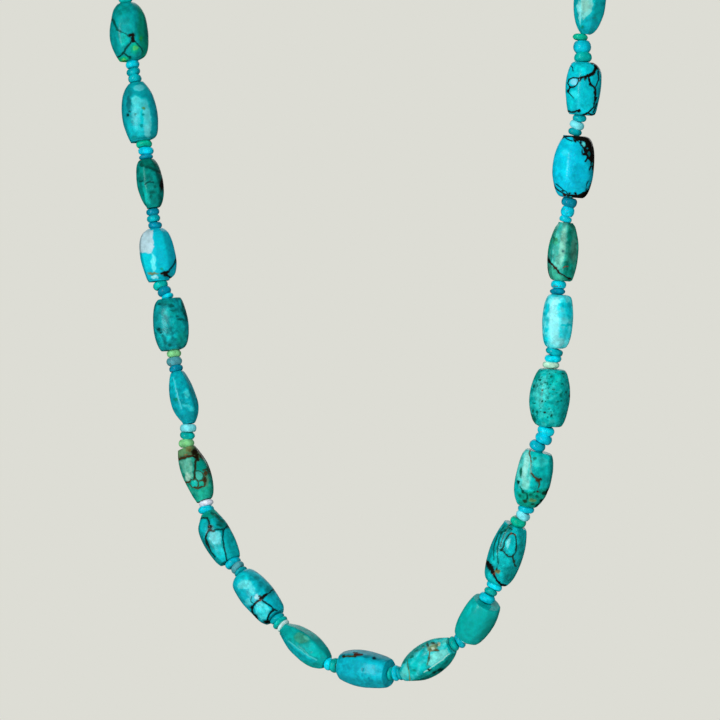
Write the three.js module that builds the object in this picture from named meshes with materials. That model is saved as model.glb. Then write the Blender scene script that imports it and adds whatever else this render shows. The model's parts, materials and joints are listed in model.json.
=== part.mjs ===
import * as THREE from 'three';

// A long string of turquoise barrel beads with small disc beads between them, hanging as it is worn.
// Millimetres, +Z up, the front towards -Y. The origin is the nape, at the middle of the clasp.

// Driving sizes
const frontY = -72; // the upright plane in which the front of the string hangs as a U
const threadRadius = 0.35;
const boreRadius = 0.6;
const clearance = 0.3; // between neighbours on the thread
const barrelSides = 12;
const discSides = 10;
const facetDepth = 0.07; // how far a facet's middle lies inside its ridges, as a share of the radius
const discFace = 0.66; // width of a disc's flat face, as a share of its full width

// The clasp, a plain turned barrel with a blind socket in each end
const clasp = { length: 14, width: 5, neckWidth: 3.4, collar: 1.6, socketRadius: 0.65, socketDepth: 2.6 };

// The hidden stretch on each side of the clasp
const hiddenPerSide = 6;
const napeReach = 50; // how far the string runs straight out from the clasp before it curves forward
const shoulderReach = 30; // how far it keeps rising above the front before it curves back

// Outline of a barrel from its middle to its end: place along the half length, and how much of the
// difference between the middle and the end is left there
const barrelOutline = [
  { along: 0.34, swell: 1 },
  { along: 0.8, swell: 0.6 },
  { along: 1, swell: 0 },
];

// Barrels of the front, in order from the upper left, down round the bottom and up to the upper right.
// x and z: the middle of the bead. heading: the way its axis runs, in degrees, 0 down, 90 to the right,
// 180 up. length, width: overall. endA, endB: widths of the two flat ends, in stringing order. roll: turn
// of the facets about the axis. lean: how far the axis tips out of the front plane, towards the viewer.
const frontBarrels = [
  { x: -68.8, z: -50.4, heading: 6, length: 15.0, width: 10.4, endA: 5.7, endB: 6.4, roll: 10, tone: 0x12958a },
  { x: -65.3, z: -71.1, heading: 10, length: 15.2, width: 9.5, endA: 5.9, endB: 6.4, roll: 25, tone: 0x25a5a8 },
  { x: -62.3, z: -89.7, heading: 8, length: 12.6, width: 7.2, endA: 4.5, endB: 3.6, roll: 40, tone: 0x0c7e78 },
  { x: -59.9, z: -108.0, heading: 7, length: 13.5, width: 9.7, endA: 6.2, endB: 6.2, roll: 12, tone: 0x58c6d6 },
  { x: -56.0, z: -125.9, heading: 7, length: 13.2, width: 9.4, endA: 7.2, endB: 6.4, roll: 20, tone: 0x14908c },
  { x: -52.3, z: -144.7, heading: 15, length: 13.8, width: 6.9, endA: 3.5, endB: 3.2, roll: 30, tone: 0x1fa0ae },
  { x: -48.2, z: -164.1, heading: 21, length: 14.2, width: 7.4, endA: 4.3, endB: 3.6, roll: 5, tone: 0x4c9a86 },
  { x: -41.6, z: -180.1, heading: 30, length: 13.8, width: 8.5, endA: 3.8, endB: 5.1, roll: 18, tone: 0x2aa8a6 },
  { x: -29.9, z: -194.8, heading: 44, length: 14.4, width: 8.7, endA: 5.6, endB: 5.6, roll: 35, tone: 0x10b4c4 },
  { x: -15.8, z: -206.8, heading: 57, length: 14.8, width: 7.6, endA: 3.3, endB: 3.8, roll: 15, tone: 0x10a0a2 },
  { x: 1.7, z: -212.3, heading: 84, length: 13.3, width: 9.4, endA: 7.5, endB: 7.5, roll: 28, tone: 0x12b0c6 },
  { x: 19.1, z: -209.1, heading: 116, length: 15.6, width: 8.2, endA: 4.3, endB: 4.2, roll: 8, tone: 0x5cb8ae },
  { x: 33.1, z: -198.9, heading: 145, length: 11.0, width: 8.8, endA: 6.6, endB: 7.6, roll: 22, tone: 0x109e94,
    lean: 10 },
  { x: 41.6, z: -182.6, heading: 156, length: 15.2, width: 9.0, endA: 4.2, endB: 4.5, roll: 14, tone: 0x229c98 },
  { x: 48.9, z: -164.0, heading: 167, length: 13.7, width: 8.8, endA: 5.1, endB: 6.8, roll: 33, tone: 0x3aa89e },
  { x: 53.6, z: -144.2, heading: 176, length: 14.1, width: 9.9, endA: 6.6, endB: 6.8, roll: 6, tone: 0x329c90 },
  { x: 55.5, z: -125.6, heading: 175, length: 13.1, width: 7.6, endA: 5.4, endB: 5.6, roll: 24, tone: 0x5cd2de },
  { x: 57.0, z: -108.6, heading: 174, length: 14.2, width: 7.7, endA: 4.9, endB: 4.1, roll: 30, tone: 0x3a8e7e },
  { x: 59.9, z: -88.0, heading: 175, length: 15.0, width: 10.3, endA: 6.6, endB: 7.1, roll: 16, tone: 0x14acc4 },
  { x: 62.7, z: -69.1, heading: 175, length: 12.8, width: 8.7, endA: 6.3, endB: 6.5, roll: 38, tone: 0x18a6b6 },
  { x: 64.2, z: -48.9, heading: 170, length: 14.1, width: 8.1, endA: 4.1, endB: 5.8, roll: 20, tone: 0x3ca8a8 },
];

// Discs between each barrel of the front and the next: their widths, their relative thicknesses, and
// how far the group hangs off the thread's line, towards the inside of the loop
const frontDiscs = [
  { widths: [3.6, 3.6, 3.5], thick: [6.5, 6, 6.5], inward: 0 },
  { widths: [4.1, 4.0, 3.7], thick: [7, 8, 5.5], inward: -0.3 },
  { widths: [3.4, 3.5, 3.5], thick: [7, 7, 7], inward: 0 },
  { widths: [3.9, 3.6, 3.2], thick: [7.5, 8, 5], inward: -0.3 },
  { widths: [3.7, 4.0, 3.6], thick: [7, 8, 6.5], inward: 0 },
  { widths: [4.2, 3.8, 4.1], thick: [7.5, 7, 8], inward: -0.4 },
  { widths: [3.7, 4.1], thick: [5, 6], inward: 0 },
  { widths: [4.3, 3.8, 3.6], thick: [6.5, 6, 4.5], inward: 0.6 },
  { widths: [4.0, 4.3, 3.8], thick: [6, 6, 4.5], inward: 0.3 },
  { widths: [3.3, 3.8, 3.5], thick: [6, 6, 5], inward: 0 },
  { widths: [3.6, 4.0, 3.6], thick: [5, 6, 5], inward: 0 },
  { widths: [3.9, 4.0, 3.6], thick: [6, 6, 5], inward: 0.3 },
  { widths: [4.0, 3.3, 4.0], thick: [8, 6, 7], inward: 0 },
  { widths: [4.0, 3.7, 4.0], thick: [8, 8, 7], inward: 0.2 },
  { widths: [4.1, 4.2, 4.2], thick: [8, 8, 8], inward: 0.5 },
  { widths: [4.1, 4.1, 4.2], thick: [7, 7, 7], inward: 0.3 },
  { widths: [3.8, 3.7], thick: [6, 7.5], inward: 0.3 },
  { widths: [3.1, 3.3, 3.8], thick: [6, 10, 9], inward: 0.1 },
  { widths: [3.3, 3.6, 3.4], thick: [7, 8, 7], inward: 0.4 },
  { widths: [4.3, 4.4, 3.7], thick: [10, 12, 6], inward: 0.8 },
];
const hiddenDiscs = { widths: [3.8, 3.9, 3.7], thick: [7, 7, 7], inward: 0 };

// Colours of the stones that don't show, taken in turn
const hiddenTones = [0x14928c, 0x22a6b2, 0x3aa89c, 0x108a84];
const discTone = 0x18a4b4;

const viewerSide = new THREE.Vector3(0, -1, 0); // the way the front faces
const stoneFinish = { roughness: 0.32, metalness: 0 };
const silverFinish = { color: 0xc9cbcd, roughness: 0.28, metalness: 1 };

// Direction of a front bead's axis, from its heading and lean
function axisOf({ heading, lean = 0 }) {
  const turn = THREE.MathUtils.degToRad(heading);
  const tip = THREE.MathUtils.degToRad(lean);
  return new THREE.Vector3(Math.sin(turn) * Math.cos(tip), -Math.sin(tip), -Math.cos(turn) * Math.cos(tip));
}

// A bead with the two points where the thread enters and leaves it
function placeBead(row, centre, axis, outward) {
  const half = axis.clone().multiplyScalar(row.length / 2);
  return { ...row, centre, axis, outward, entry: centre.clone().sub(half), exit: centre.clone().add(half) };
}

function placeFrontBead(row) {
  return placeBead(row, new THREE.Vector3(row.x, frontY, row.z), axisOf(row), viewerSide);
}

// Sizes of the stones that don't show: close to the middling ones of the front, with a little variety
function hiddenRow(index) {
  const wave = Math.sin(index * 2.1);
  return {
    length: 13.8 + 0.7 * wave,
    width: 8.8 + 0.6 * Math.cos(index * 1.7),
    endA: 5.4 + 0.4 * wave,
    endB: 5.4 - 0.4 * wave,
    roll: (index * 17) % 60,
    tone: hiddenTones[index % hiddenTones.length],
  };
}

// Stones of one hidden side, spread along its curve with an equal group of discs at every gap
function placeHiddenBeads(curve, firstIndex) {
  const rows = Array.from({ length: hiddenPerSide }, (unused, step) => hiddenRow(firstIndex + step));
  const stoneLength = rows.reduce((sum, row) => sum + row.length, 0);
  const curveLength = curve.getLength();
  const groupLength = (curveLength - stoneLength) / (hiddenPerSide + 1);
  let travelled = 0;
  return rows.map((row) => {
    const share = (travelled + groupLength + row.length / 2) / curveLength;
    travelled += groupLength + row.length;
    const centre = curve.getPointAt(share);
    const outward = new THREE.Vector3(centre.x, centre.y - frontY / 2, 0).normalize();
    return placeBead(row, centre, curve.getTangentAt(share), outward);
  });
}

// The whole string in stringing order: nape, left side, front, right side, nape
function strungBeads() {
  const front = frontBarrels.map(placeFrontBead);
  const first = front[0];
  const last = front[front.length - 1];
  const leftEnd = new THREE.Vector3(-clasp.length / 2, 0, 0);
  const rightEnd = new THREE.Vector3(clasp.length / 2, 0, 0);
  const left = new THREE.CubicBezierCurve3(
    leftEnd,
    leftEnd.clone().add(new THREE.Vector3(-napeReach, 0, 0)),
    first.entry.clone().addScaledVector(first.axis, -shoulderReach),
    first.entry,
  );
  const right = new THREE.CubicBezierCurve3(
    last.exit,
    last.exit.clone().addScaledVector(last.axis, shoulderReach),
    rightEnd.clone().add(new THREE.Vector3(napeReach, 0, 0)),
    rightEnd,
  );
  return [...placeHiddenBeads(left, 0), ...front, ...placeHiddenBeads(right, hiddenPerSide)];
}

// A barrel is turned from its outline with a bore through it. Every second column of points is then
// drawn in a little, which gives the stone its six soft facets.
function barrelGeometry({ length, width, endA, endB, roll }) {
  const half = length / 2;
  const side = (sign, endWidth) =>
    barrelOutline.map(({ along, swell }) => {
      const radius = (endWidth + (width - endWidth) * swell) / 2;
      return new THREE.Vector2(radius, sign * along * half);
    });
  const outline = [
    new THREE.Vector2(boreRadius, -half),
    ...side(-1, endA).reverse(),
    ...side(1, endB),
    new THREE.Vector2(boreRadius, half),
    new THREE.Vector2(boreRadius, -half),
  ];
  const geometry = new THREE.LatheGeometry(outline, barrelSides, THREE.MathUtils.degToRad(roll));
  const points = geometry.attributes.position;
  for (let index = 0; index < points.count; index += 1) {
    const column = Math.floor(index / outline.length);
    const onBore = index % outline.length === 0 || index % outline.length >= outline.length - 2;
    if (column % 2 === 1 && !onBore) {
      points.setX(index, points.getX(index) * (1 - facetDepth));
      points.setZ(index, points.getZ(index) * (1 - facetDepth));
    }
  }
  geometry.computeVertexNormals();
  return geometry;
}

function barrelMesh(bead, number) {
  const material = new THREE.MeshStandardMaterial({ color: bead.tone, ...stoneFinish });
  const mesh = new THREE.Mesh(barrelGeometry(bead), material);
  mesh.name = `barrel_${String(number).padStart(2, '0')}`;
  const sideways = new THREE.Vector3().crossVectors(bead.axis, bead.outward).normalize();
  const front = new THREE.Vector3().crossVectors(sideways, bead.axis);
  mesh.quaternion.setFromRotationMatrix(new THREE.Matrix4().makeBasis(sideways, bead.axis, front));
  mesh.position.copy(bead.centre);
  return mesh;
}

// The bare curve of the thread from one bead to the next, smooth with both beads' axes
function gapCurve(from, fromAxis, to, toAxis) {
  const reach = from.distanceTo(to) / 3;
  return new THREE.CubicBezierCurve3(
    from,
    from.clone().addScaledVector(fromAxis, reach),
    to.clone().addScaledVector(toAxis, -reach),
    to,
  );
}

// Rings of one group of discs on its stretch of thread. The discs fill the stretch between them, touch
// at their flat faces and are widest at their middles.
function discStations(curve, { widths, thick, inward }) {
  const length = curve.getLength();
  const scale = (length - 2 * clearance) / thick.reduce((sum, size) => sum + size, 0);
  const threadStation = (distance) => ({
    point: curve.getPointAt(distance / length),
    tangent: curve.getTangentAt(distance / length),
    radius: threadRadius,
  });
  const discStation = (distance, radius) => {
    const { point, tangent } = threadStation(distance);
    const inside = new THREE.Vector3().crossVectors(viewerSide, tangent);
    return { point: point.addScaledVector(inside, inward), tangent, radius };
  };
  const faceRadius = (width) => (width * discFace) / 2;
  const stations = [threadStation(clearance), discStation(clearance, faceRadius(widths[0]))];
  let travelled = clearance;
  widths.forEach((width, index) => {
    const thickness = thick[index] * scale;
    const next = widths[index + 1] ?? width;
    stations.push(discStation(travelled + thickness / 2, width / 2));
    travelled += thickness;
    stations.push(discStation(travelled, faceRadius(Math.min(width, next))));
  });
  stations.push(threadStation(travelled));
  return stations;
}

// Rings of the whole string: thread in the clasp, then discs and thread by turns, then the clasp again
function stringStations(beads) {
  const reach = clasp.length / 2 - clasp.socketDepth + clearance;
  const outward = new THREE.Vector3(-1, 0, 0);
  const inward = new THREE.Vector3(-1, 0, 0);
  const claspExit = new THREE.Vector3(-clasp.length / 2, 0, 0);
  const claspEntry = new THREE.Vector3(clasp.length / 2, 0, 0);
  const threadAt = (point, tangent) => ({ point, tangent, radius: threadRadius });
  const stations = [threadAt(new THREE.Vector3(-reach, 0, 0), outward)];
  let from = claspExit;
  let fromAxis = outward;
  const groups = [
    ...Array(hiddenPerSide + 1).fill(hiddenDiscs),
    ...frontDiscs,
    ...Array(hiddenPerSide + 1).fill(hiddenDiscs),
  ];
  beads.forEach((bead, index) => {
    stations.push(...discStations(gapCurve(from, fromAxis, bead.entry, bead.axis), groups[index]));
    from = bead.exit;
    fromAxis = bead.axis;
  });
  stations.push(...discStations(gapCurve(from, fromAxis, claspEntry, inward), groups[beads.length]));
  stations.push(threadAt(new THREE.Vector3(reach, 0, 0), inward));
  return stations;
}

// A closed tube through the rings. Each ring's zero direction is the last one's, laid flat again.
function tubeGeometry(stations) {
  const positions = [];
  const faces = [];
  let zero = new THREE.Vector3(0, 0, 1);
  stations.forEach(({ point, tangent, radius }) => {
    zero = zero.addScaledVector(tangent, -zero.dot(tangent)).normalize();
    const quarter = new THREE.Vector3().crossVectors(tangent, zero);
    for (let side = 0; side < discSides; side += 1) {
      const angle = (side * 2 * Math.PI) / discSides;
      const spot = point.clone();
      spot.addScaledVector(zero, radius * Math.cos(angle));
      spot.addScaledVector(quarter, radius * Math.sin(angle));
      positions.push(spot.x, spot.y, spot.z);
    }
  });
  for (let ring = 0; ring < stations.length - 1; ring += 1) {
    for (let side = 0; side < discSides; side += 1) {
      const next = (side + 1) % discSides;
      const here = ring * discSides;
      const ahead = here + discSides;
      faces.push(here + side, here + next, ahead + side);
      faces.push(here + next, ahead + next, ahead + side);
    }
  }
  const lastRing = (stations.length - 1) * discSides;
  for (let side = 1; side < discSides - 1; side += 1) {
    faces.push(0, side + 1, side);
    faces.push(lastRing, lastRing + side, lastRing + side + 1);
  }
  const geometry = new THREE.BufferGeometry();
  geometry.setAttribute('position', new THREE.Float32BufferAttribute(positions, 3));
  geometry.setIndex(faces);
  geometry.computeVertexNormals();
  return geometry;
}

function spacerStringMesh(beads) {
  const material = new THREE.MeshStandardMaterial({ color: discTone, ...stoneFinish });
  const mesh = new THREE.Mesh(tubeGeometry(stringStations(beads)), material);
  mesh.name = 'spacer_string';
  return mesh;
}

function claspMesh() {
  const half = clasp.length / 2;
  const floor = half - clasp.socketDepth;
  const outline = [
    [0, -floor],
    [clasp.socketRadius, -floor],
    [clasp.socketRadius, -half],
    [clasp.neckWidth / 2, -half],
    [clasp.neckWidth / 2, -half + clasp.collar],
    [clasp.width / 2, -half + 2 * clasp.collar],
    [clasp.width / 2, half - 2 * clasp.collar],
    [clasp.neckWidth / 2, half - clasp.collar],
    [clasp.neckWidth / 2, half],
    [clasp.socketRadius, half],
    [clasp.socketRadius, floor],
    [0, floor],
  ].map(([radius, height]) => new THREE.Vector2(radius, height));
  const mesh = new THREE.Mesh(
    new THREE.LatheGeometry(outline, 16),
    new THREE.MeshStandardMaterial(silverFinish),
  );
  mesh.name = 'clasp';
  mesh.rotation.z = -Math.PI / 2;
  return mesh;
}

const beads = strungBeads();
const necklace = new THREE.Group();
beads.forEach((bead, index) => necklace.add(barrelMesh(bead, index + 1)));
necklace.add(spacerStringMesh(beads));
necklace.add(claspMesh());

export default necklace;
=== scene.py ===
import json
import math

import bpy
import numpy as np
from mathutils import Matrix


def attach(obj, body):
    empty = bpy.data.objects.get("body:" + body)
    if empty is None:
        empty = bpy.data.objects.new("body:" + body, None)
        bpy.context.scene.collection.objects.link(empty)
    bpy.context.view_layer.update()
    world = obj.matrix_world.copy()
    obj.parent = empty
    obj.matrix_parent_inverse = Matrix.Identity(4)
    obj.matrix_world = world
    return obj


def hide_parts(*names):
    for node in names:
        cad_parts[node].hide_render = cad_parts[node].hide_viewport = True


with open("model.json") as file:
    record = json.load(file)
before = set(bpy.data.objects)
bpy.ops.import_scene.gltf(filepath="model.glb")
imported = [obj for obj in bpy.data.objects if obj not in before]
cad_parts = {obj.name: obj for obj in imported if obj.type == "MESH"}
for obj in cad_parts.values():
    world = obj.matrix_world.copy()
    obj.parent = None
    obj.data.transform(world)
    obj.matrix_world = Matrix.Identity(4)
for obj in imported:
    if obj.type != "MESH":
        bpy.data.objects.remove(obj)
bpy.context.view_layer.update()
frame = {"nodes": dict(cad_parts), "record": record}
mm = 0.001
tiny = 1e-15  # keeps a cross product from being nothing

# The camera's place. One pixel of the 720 x 720 picture is pixelSize at the front of the string.
shot = {
    "target": np.array([0, -72, -135]) * mm,
    "azimuth": 30.0,
    "distance": 1.1,
    "pixelSize": 0.25 * mm,
    "middlePixel": 360.0,
    "sensor": 36.0,
    "near": 0.05,
    "far": 20,
}
shotTurn = math.radians(shot["azimuth"])
toCamera = np.array([math.sin(shotTurn), -math.cos(shotTurn), 0.0])
shotRight = np.array([math.cos(shotTurn), math.sin(shotTurn), 0.0])

# The loop: the neck that it goes round, where its front begins, and the middle of the front's U
neckMiddle = np.array([0, -36, 0]) * mm
frontFrom = -66 * mm
bendHeight = -110 * mm


# Each vector over its own length
def unit(vectors):
    return vectors / np.linalg.norm(vectors, axis=-1, keepdims=True)


# Smooth step from 0 at low to 1 at high
def smooth(values, low, high):
    share = np.clip((values - low) / (high - low), 0, 1)
    return share * share * (3 - 2 * share)


# 0..255 display colour to the linear colour that a shader takes
def linear(tone):
    share = np.asarray(tone, float) / 255
    return np.where(share <= 0.04045, share / 12.92, ((share + 0.055) / 1.055) ** 2.4)


# Soft cloudy field about 0, roughly -1 to 1, of a size in mm: the mean of sine waves that run in
# seeded directions, each 0.6 to 1.6 of the size long
def cloud(points, size, seed, waves=14):
    source = np.random.default_rng(seed)
    direction = unit(source.normal(size=(waves, 3)))
    pitch = 2 * np.pi / (size * mm * source.uniform(0.6, 1.6, waves))
    phase = source.uniform(0, 2 * np.pi, waves)
    return np.sin(points @ direction.T * pitch + phase).sum(1) / math.sqrt(waves)


# Where points fall in the picture, in pixels
def inPicture(points):
    offset = points - shot["target"]
    zoom = shot["distance"] / (shot["distance"] - offset @ toCamera) / shot["pixelSize"]
    across = shot["middlePixel"] + (offset @ shotRight) * zoom
    down = shot["middlePixel"] - offset[:, 2] * zoom
    return np.stack([across, down], 1)


# Shortest distance from each spot to a line through the given points
def lineDistance(spots, path):
    path = np.asarray(path, float)
    start, run = path[:-1], np.diff(path, axis=0)
    offset = spots[:, None, :] - start[None]
    share = np.clip((offset * run).sum(2) / (run * run).sum(1), 0, 1)
    return np.linalg.norm(offset - share[..., None] * run, axis=2).min(1)


# A grid of points, rings x columns, closed round its columns, to a mesh. If it is also closed along
# its rings it is a ring-shaped body, and otherwise each end is shut with a fan.
def gridMesh(name, grid, closedAlong, attributes):
    rings, columns = grid.shape[:2]
    index = np.arange(rings * columns).reshape(rings, columns)
    ahead = np.roll(index, -1, axis=0) if closedAlong else index[1:]
    here = index if closedAlong else index[:-1]
    quads = np.stack([here, np.roll(here, -1, 1), np.roll(ahead, -1, 1), ahead], 2).reshape(-1, 4)
    points = grid.reshape(-1, 3)
    corners, starts, sizes = quads.ravel(), np.arange(len(quads)) * 4, np.full(len(quads), 4)
    if not closedAlong:
        caps = np.concatenate([index[0][::-1], index[-1]])
        starts = np.append(starts, [corners.size, corners.size + columns])
        sizes = np.append(sizes, [columns, columns])
        corners = np.concatenate([corners, caps])
    mesh = bpy.data.meshes.new(name)
    mesh.vertices.add(len(points))
    mesh.vertices.foreach_set("co", points.astype(np.float32).ravel())
    mesh.loops.add(len(corners))
    mesh.loops.foreach_set("vertex_index", corners.astype(np.int32))
    mesh.polygons.add(len(starts))
    mesh.polygons.foreach_set("loop_start", starts.astype(np.int32))
    mesh.polygons.foreach_set("loop_total", sizes.astype(np.int32))
    mesh.update(calc_edges=True)
    mesh.validate()
    for label, values in attributes.items():
        kind = "FLOAT" if values.ndim == 1 else "FLOAT_COLOR"
        layer = mesh.attributes.new(label, kind, "POINT")
        if values.ndim == 1:
            layer.data.foreach_set("value", values.astype(np.float32))
        else:
            full = np.concatenate([values, np.ones((len(values), 1))], 1)
            layer.data.foreach_set("color", full.astype(np.float32).ravel())
    mesh.shade_smooth()
    piece = bpy.data.objects.new(name, mesh)
    bpy.context.scene.collection.objects.link(piece)
    return piece


# Outward unit normals of a grid that is closed both ways, from its neighbours' differences
def gridNormals(grid):
    around = np.roll(grid, -1, 1) - np.roll(grid, 1, 1)
    along = np.roll(grid, -1, 0) - np.roll(grid, 1, 0)
    return unit(np.cross(around, along) + tiny)


# A new node material, with its nodes, its links and its shader
def newMaterial(name):
    material = bpy.data.materials.new(name)
    material.use_nodes = True
    nodes = material.node_tree.nodes
    return material, nodes, material.node_tree.links, nodes["Principled BSDF"]


# A node of a kind, with its settings
def addNode(nodes, kind, **settings):
    node = nodes.new(kind)
    for label, value in settings.items():
        setattr(node, label, value)
    return node


# Noise in the object's own space: scale is its number of waves per metre
def noiseNode(nodes, links, coordinates, scale, detail, roughness):
    noise = addNode(nodes, "ShaderNodeTexNoise")
    for label, value in (("Scale", scale), ("Detail", detail), ("Roughness", roughness)):
        noise.inputs[label].default_value = value
    links.new(coordinates.outputs["Object"], noise.inputs["Vector"])
    return noise.outputs["Fac"]


# Smooth step of a source between low and high, from newLow to newHigh
def rangeNode(nodes, links, source, low, high, newLow, newHigh):
    ranged = addNode(nodes, "ShaderNodeMapRange", interpolation_type="SMOOTHSTEP")
    limits = {"From Min": low, "From Max": high, "To Min": newLow, "To Max": newHigh}
    for label, value in limits.items():
        ranged.inputs[label].default_value = value
    links.new(source, ranged.inputs["Value"])
    return ranged.outputs["Result"]


# first x second + third, each a socket or a number
def sumNode(nodes, links, first, second, third):
    node = addNode(nodes, "ShaderNodeMath", operation="MULTIPLY_ADD")
    for place, term in enumerate((first, second, third)):
        if isinstance(term, (int, float)):
            node.inputs[place].default_value = term
        else:
            links.new(term, node.inputs[place])
    return node.outputs["Value"]


# Noises are (waves per metre, detail, roughness). Spans are smooth steps of a noise, (from, to,
# value there, value there).
stoneFinish = {
    "grainNoise": (700.0, 6, 0.62),  # clouds of about a millimetre and a half
    "fleckNoise": (2600.0, 3, 0.55),
    "frayNoise": (2900.0, 4, 0.65),  # raggedness of the matrix's edges
    "valueSpan": (0.32, 0.66, -0.26, 0.16),  # how much darker and lighter the clouds are
    "hueSpan": (0.3, 0.7, 0.489, 0.514),
    "saturation": 1.1,
    "frayShare": 0.95,
    "matrixSpan": (0.87, 1.07, 0.0, 1.0),
    "matrixGloss": 0.2,  # how much rougher the matrix is than the stone
    "matrixSink": 1.5,  # how far it lies below the stone's skin, against the flecks' relief
    "relief": 0.14,
    "reliefDepth": 0.05 * mm,
    "mirror": 0.1,
    "coat": 0.3,
    "coatGloss": 0.17,
}


# Waxed turquoise. The piece's attributes give the stone's colour, with painted highlights and
# painted shade in it, how strongly it is mottled, how rough it is, the matrix's colour and how near
# a vein is; a few pale veins are painted highlights. Noise in the stone's own space mottles the
# stone and frays the veins.
def makeTurquoise():
    material, nodes, links, shader = newMaterial("turquoise")
    coordinates = addNode(nodes, "ShaderNodeTexCoord")
    given = {label: addNode(nodes, "ShaderNodeAttribute", attribute_name=label)
             for label in ("stoneToneAndPaintedLight", "grain", "roughness", "matrixTone", "matrix")}
    share = {label: node.outputs["Fac"] for label, node in given.items()}
    grain, fleck, fray = (noiseNode(nodes, links, coordinates, *stoneFinish[label])
                          for label in ("grainNoise", "fleckNoise", "frayNoise"))

    # mottling: lighter and darker clouds of the stone's own colour, a touch greener or bluer too
    shade = addNode(nodes, "ShaderNodeHueSaturation")
    shade.inputs["Saturation"].default_value = stoneFinish["saturation"]
    clouds = rangeNode(nodes, links, grain, *stoneFinish["valueSpan"])
    links.new(sumNode(nodes, links, clouds, share["grain"], 1.0), shade.inputs["Value"])
    links.new(rangeNode(nodes, links, fleck, *stoneFinish["hueSpan"]), shade.inputs["Hue"])
    links.new(given["stoneToneAndPaintedLight"].outputs["Color"], shade.inputs["Color"])

    # veins: the painted nearness, frayed and cut to a soft edge (pale ones are painted highlights)
    frayed = sumNode(nodes, links, fray, stoneFinish["frayShare"], share["matrix"])
    cut = rangeNode(nodes, links, frayed, *stoneFinish["matrixSpan"])

    colour = addNode(nodes, "ShaderNodeMix", data_type="RGBA")
    links.new(cut, colour.inputs["Factor"])
    links.new(shade.outputs["Color"], colour.inputs["A"])
    links.new(given["matrixTone"].outputs["Color"], colour.inputs["B"])
    links.new(colour.outputs["Result"], shader.inputs["Base Color"])
    rough = sumNode(nodes, links, cut, stoneFinish["matrixGloss"], share["roughness"])
    links.new(rough, shader.inputs["Roughness"])

    # skin: fine pits and the veins a little below the polish
    bump = addNode(nodes, "ShaderNodeBump")
    bump.inputs["Strength"].default_value = stoneFinish["relief"]
    bump.inputs["Distance"].default_value = stoneFinish["reliefDepth"]
    links.new(sumNode(nodes, links, cut, -stoneFinish["matrixSink"], fleck), bump.inputs["Height"])
    links.new(bump.outputs["Normal"], shader.inputs["Normal"])
    shader.inputs["Coat Weight"].default_value = stoneFinish["coat"]
    shader.inputs["Coat Roughness"].default_value = stoneFinish["coatGloss"]
    shader.inputs["Specular IOR Level"].default_value = stoneFinish["mirror"]
    return material


silverFinish = {
    "tone": (222, 222, 218),
    "wornShare": 0.7,  # the worn tone, as a share of the tone
    "wearNoise": (1400.0, 5, 0.55),
    "glossSpan": (0.3, 0.7, 0.252, 0.576),
    "wornSpan": (0.45, 0.8, 0.0, 0.6),
}


# Polished silver with faint wear: noise moves the roughness and a trace of the colour
def makeSilver():
    material, nodes, links, shader = newMaterial("silver")
    coordinates = addNode(nodes, "ShaderNodeTexCoord")
    wear = noiseNode(nodes, links, coordinates, *silverFinish["wearNoise"])
    gloss = rangeNode(nodes, links, wear, *silverFinish["glossSpan"])
    links.new(gloss, shader.inputs["Roughness"])
    tint = addNode(nodes, "ShaderNodeMix", data_type="RGBA")
    tint.inputs["A"].default_value = (*linear(silverFinish["tone"]), 1)
    tint.inputs["B"].default_value = (*linear(silverFinish["tone"]) * silverFinish["wornShare"], 1)
    links.new(rangeNode(nodes, links, wear, *silverFinish["wornSpan"]), tint.inputs["Factor"])
    links.new(tint.outputs["Result"], shader.inputs["Base Color"])
    shader.inputs["Metallic"].default_value = 1.0
    return material


turquoise = makeTurquoise()
silver = makeSilver()
print("materials made")


# Looks of the barrels. Outlines and marks were charted on enlargements of the photo, and tones
# chosen for each. A program then scaled the veins' widths, by 0.84, or by 0.92 from 3 pixels up,
# and the sizes of barrel_22's blots, by 0.74.
#
# Places and sizes are pixels of the photo, and tones are display colours: two for each stone's
# clouds, whose size in mm is mottle. sides: the barrel's left and right outlines. facets: how many
# flats. ridge: where one ridge runs, in degrees from the side that faces the viewer. flat: depth of
# the flats, as a share of the radius. edge: sharpness of the ridges. grain: how strongly the stone
# is mottled. polish: its roughness. backVeins: strength of the veins on the side without a chart.
# specks: their number. net: strength of a net of fine veins. full and crisp shape a barrel without
# sides: how squarely it fills out towards its ends, and how sharp its rims are, 1 sharpest.
#
# Marks are rows. patches: x, y, half width, half height, tone, amount, turn. blots: the same
# without amount. veins: width, tone, path. areas: tone, amount, width of the edge's fade, outline.
# matrix has areas that are all matrix, and islands has patches of stone that shows through it. The
# functions after the table read them.
# Some patches, areas and pale veins below are painted highlights, reflections and shade, as noted.
black = (18, 16, 12)
rust = (116, 58, 26)
plainLook = {
    "tones": ((0, 152, 146), (0, 136, 130)), "mottle": 3, "facets": 6, "ridge": 12, "flat": 0.07,
    "edge": 26, "full": 2.4, "crisp": 1.5, "backVeins": 0.5, "grain": 1, "polish": 0.36,
    "specks": 0, "net": 0,
}
looks = {}
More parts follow.
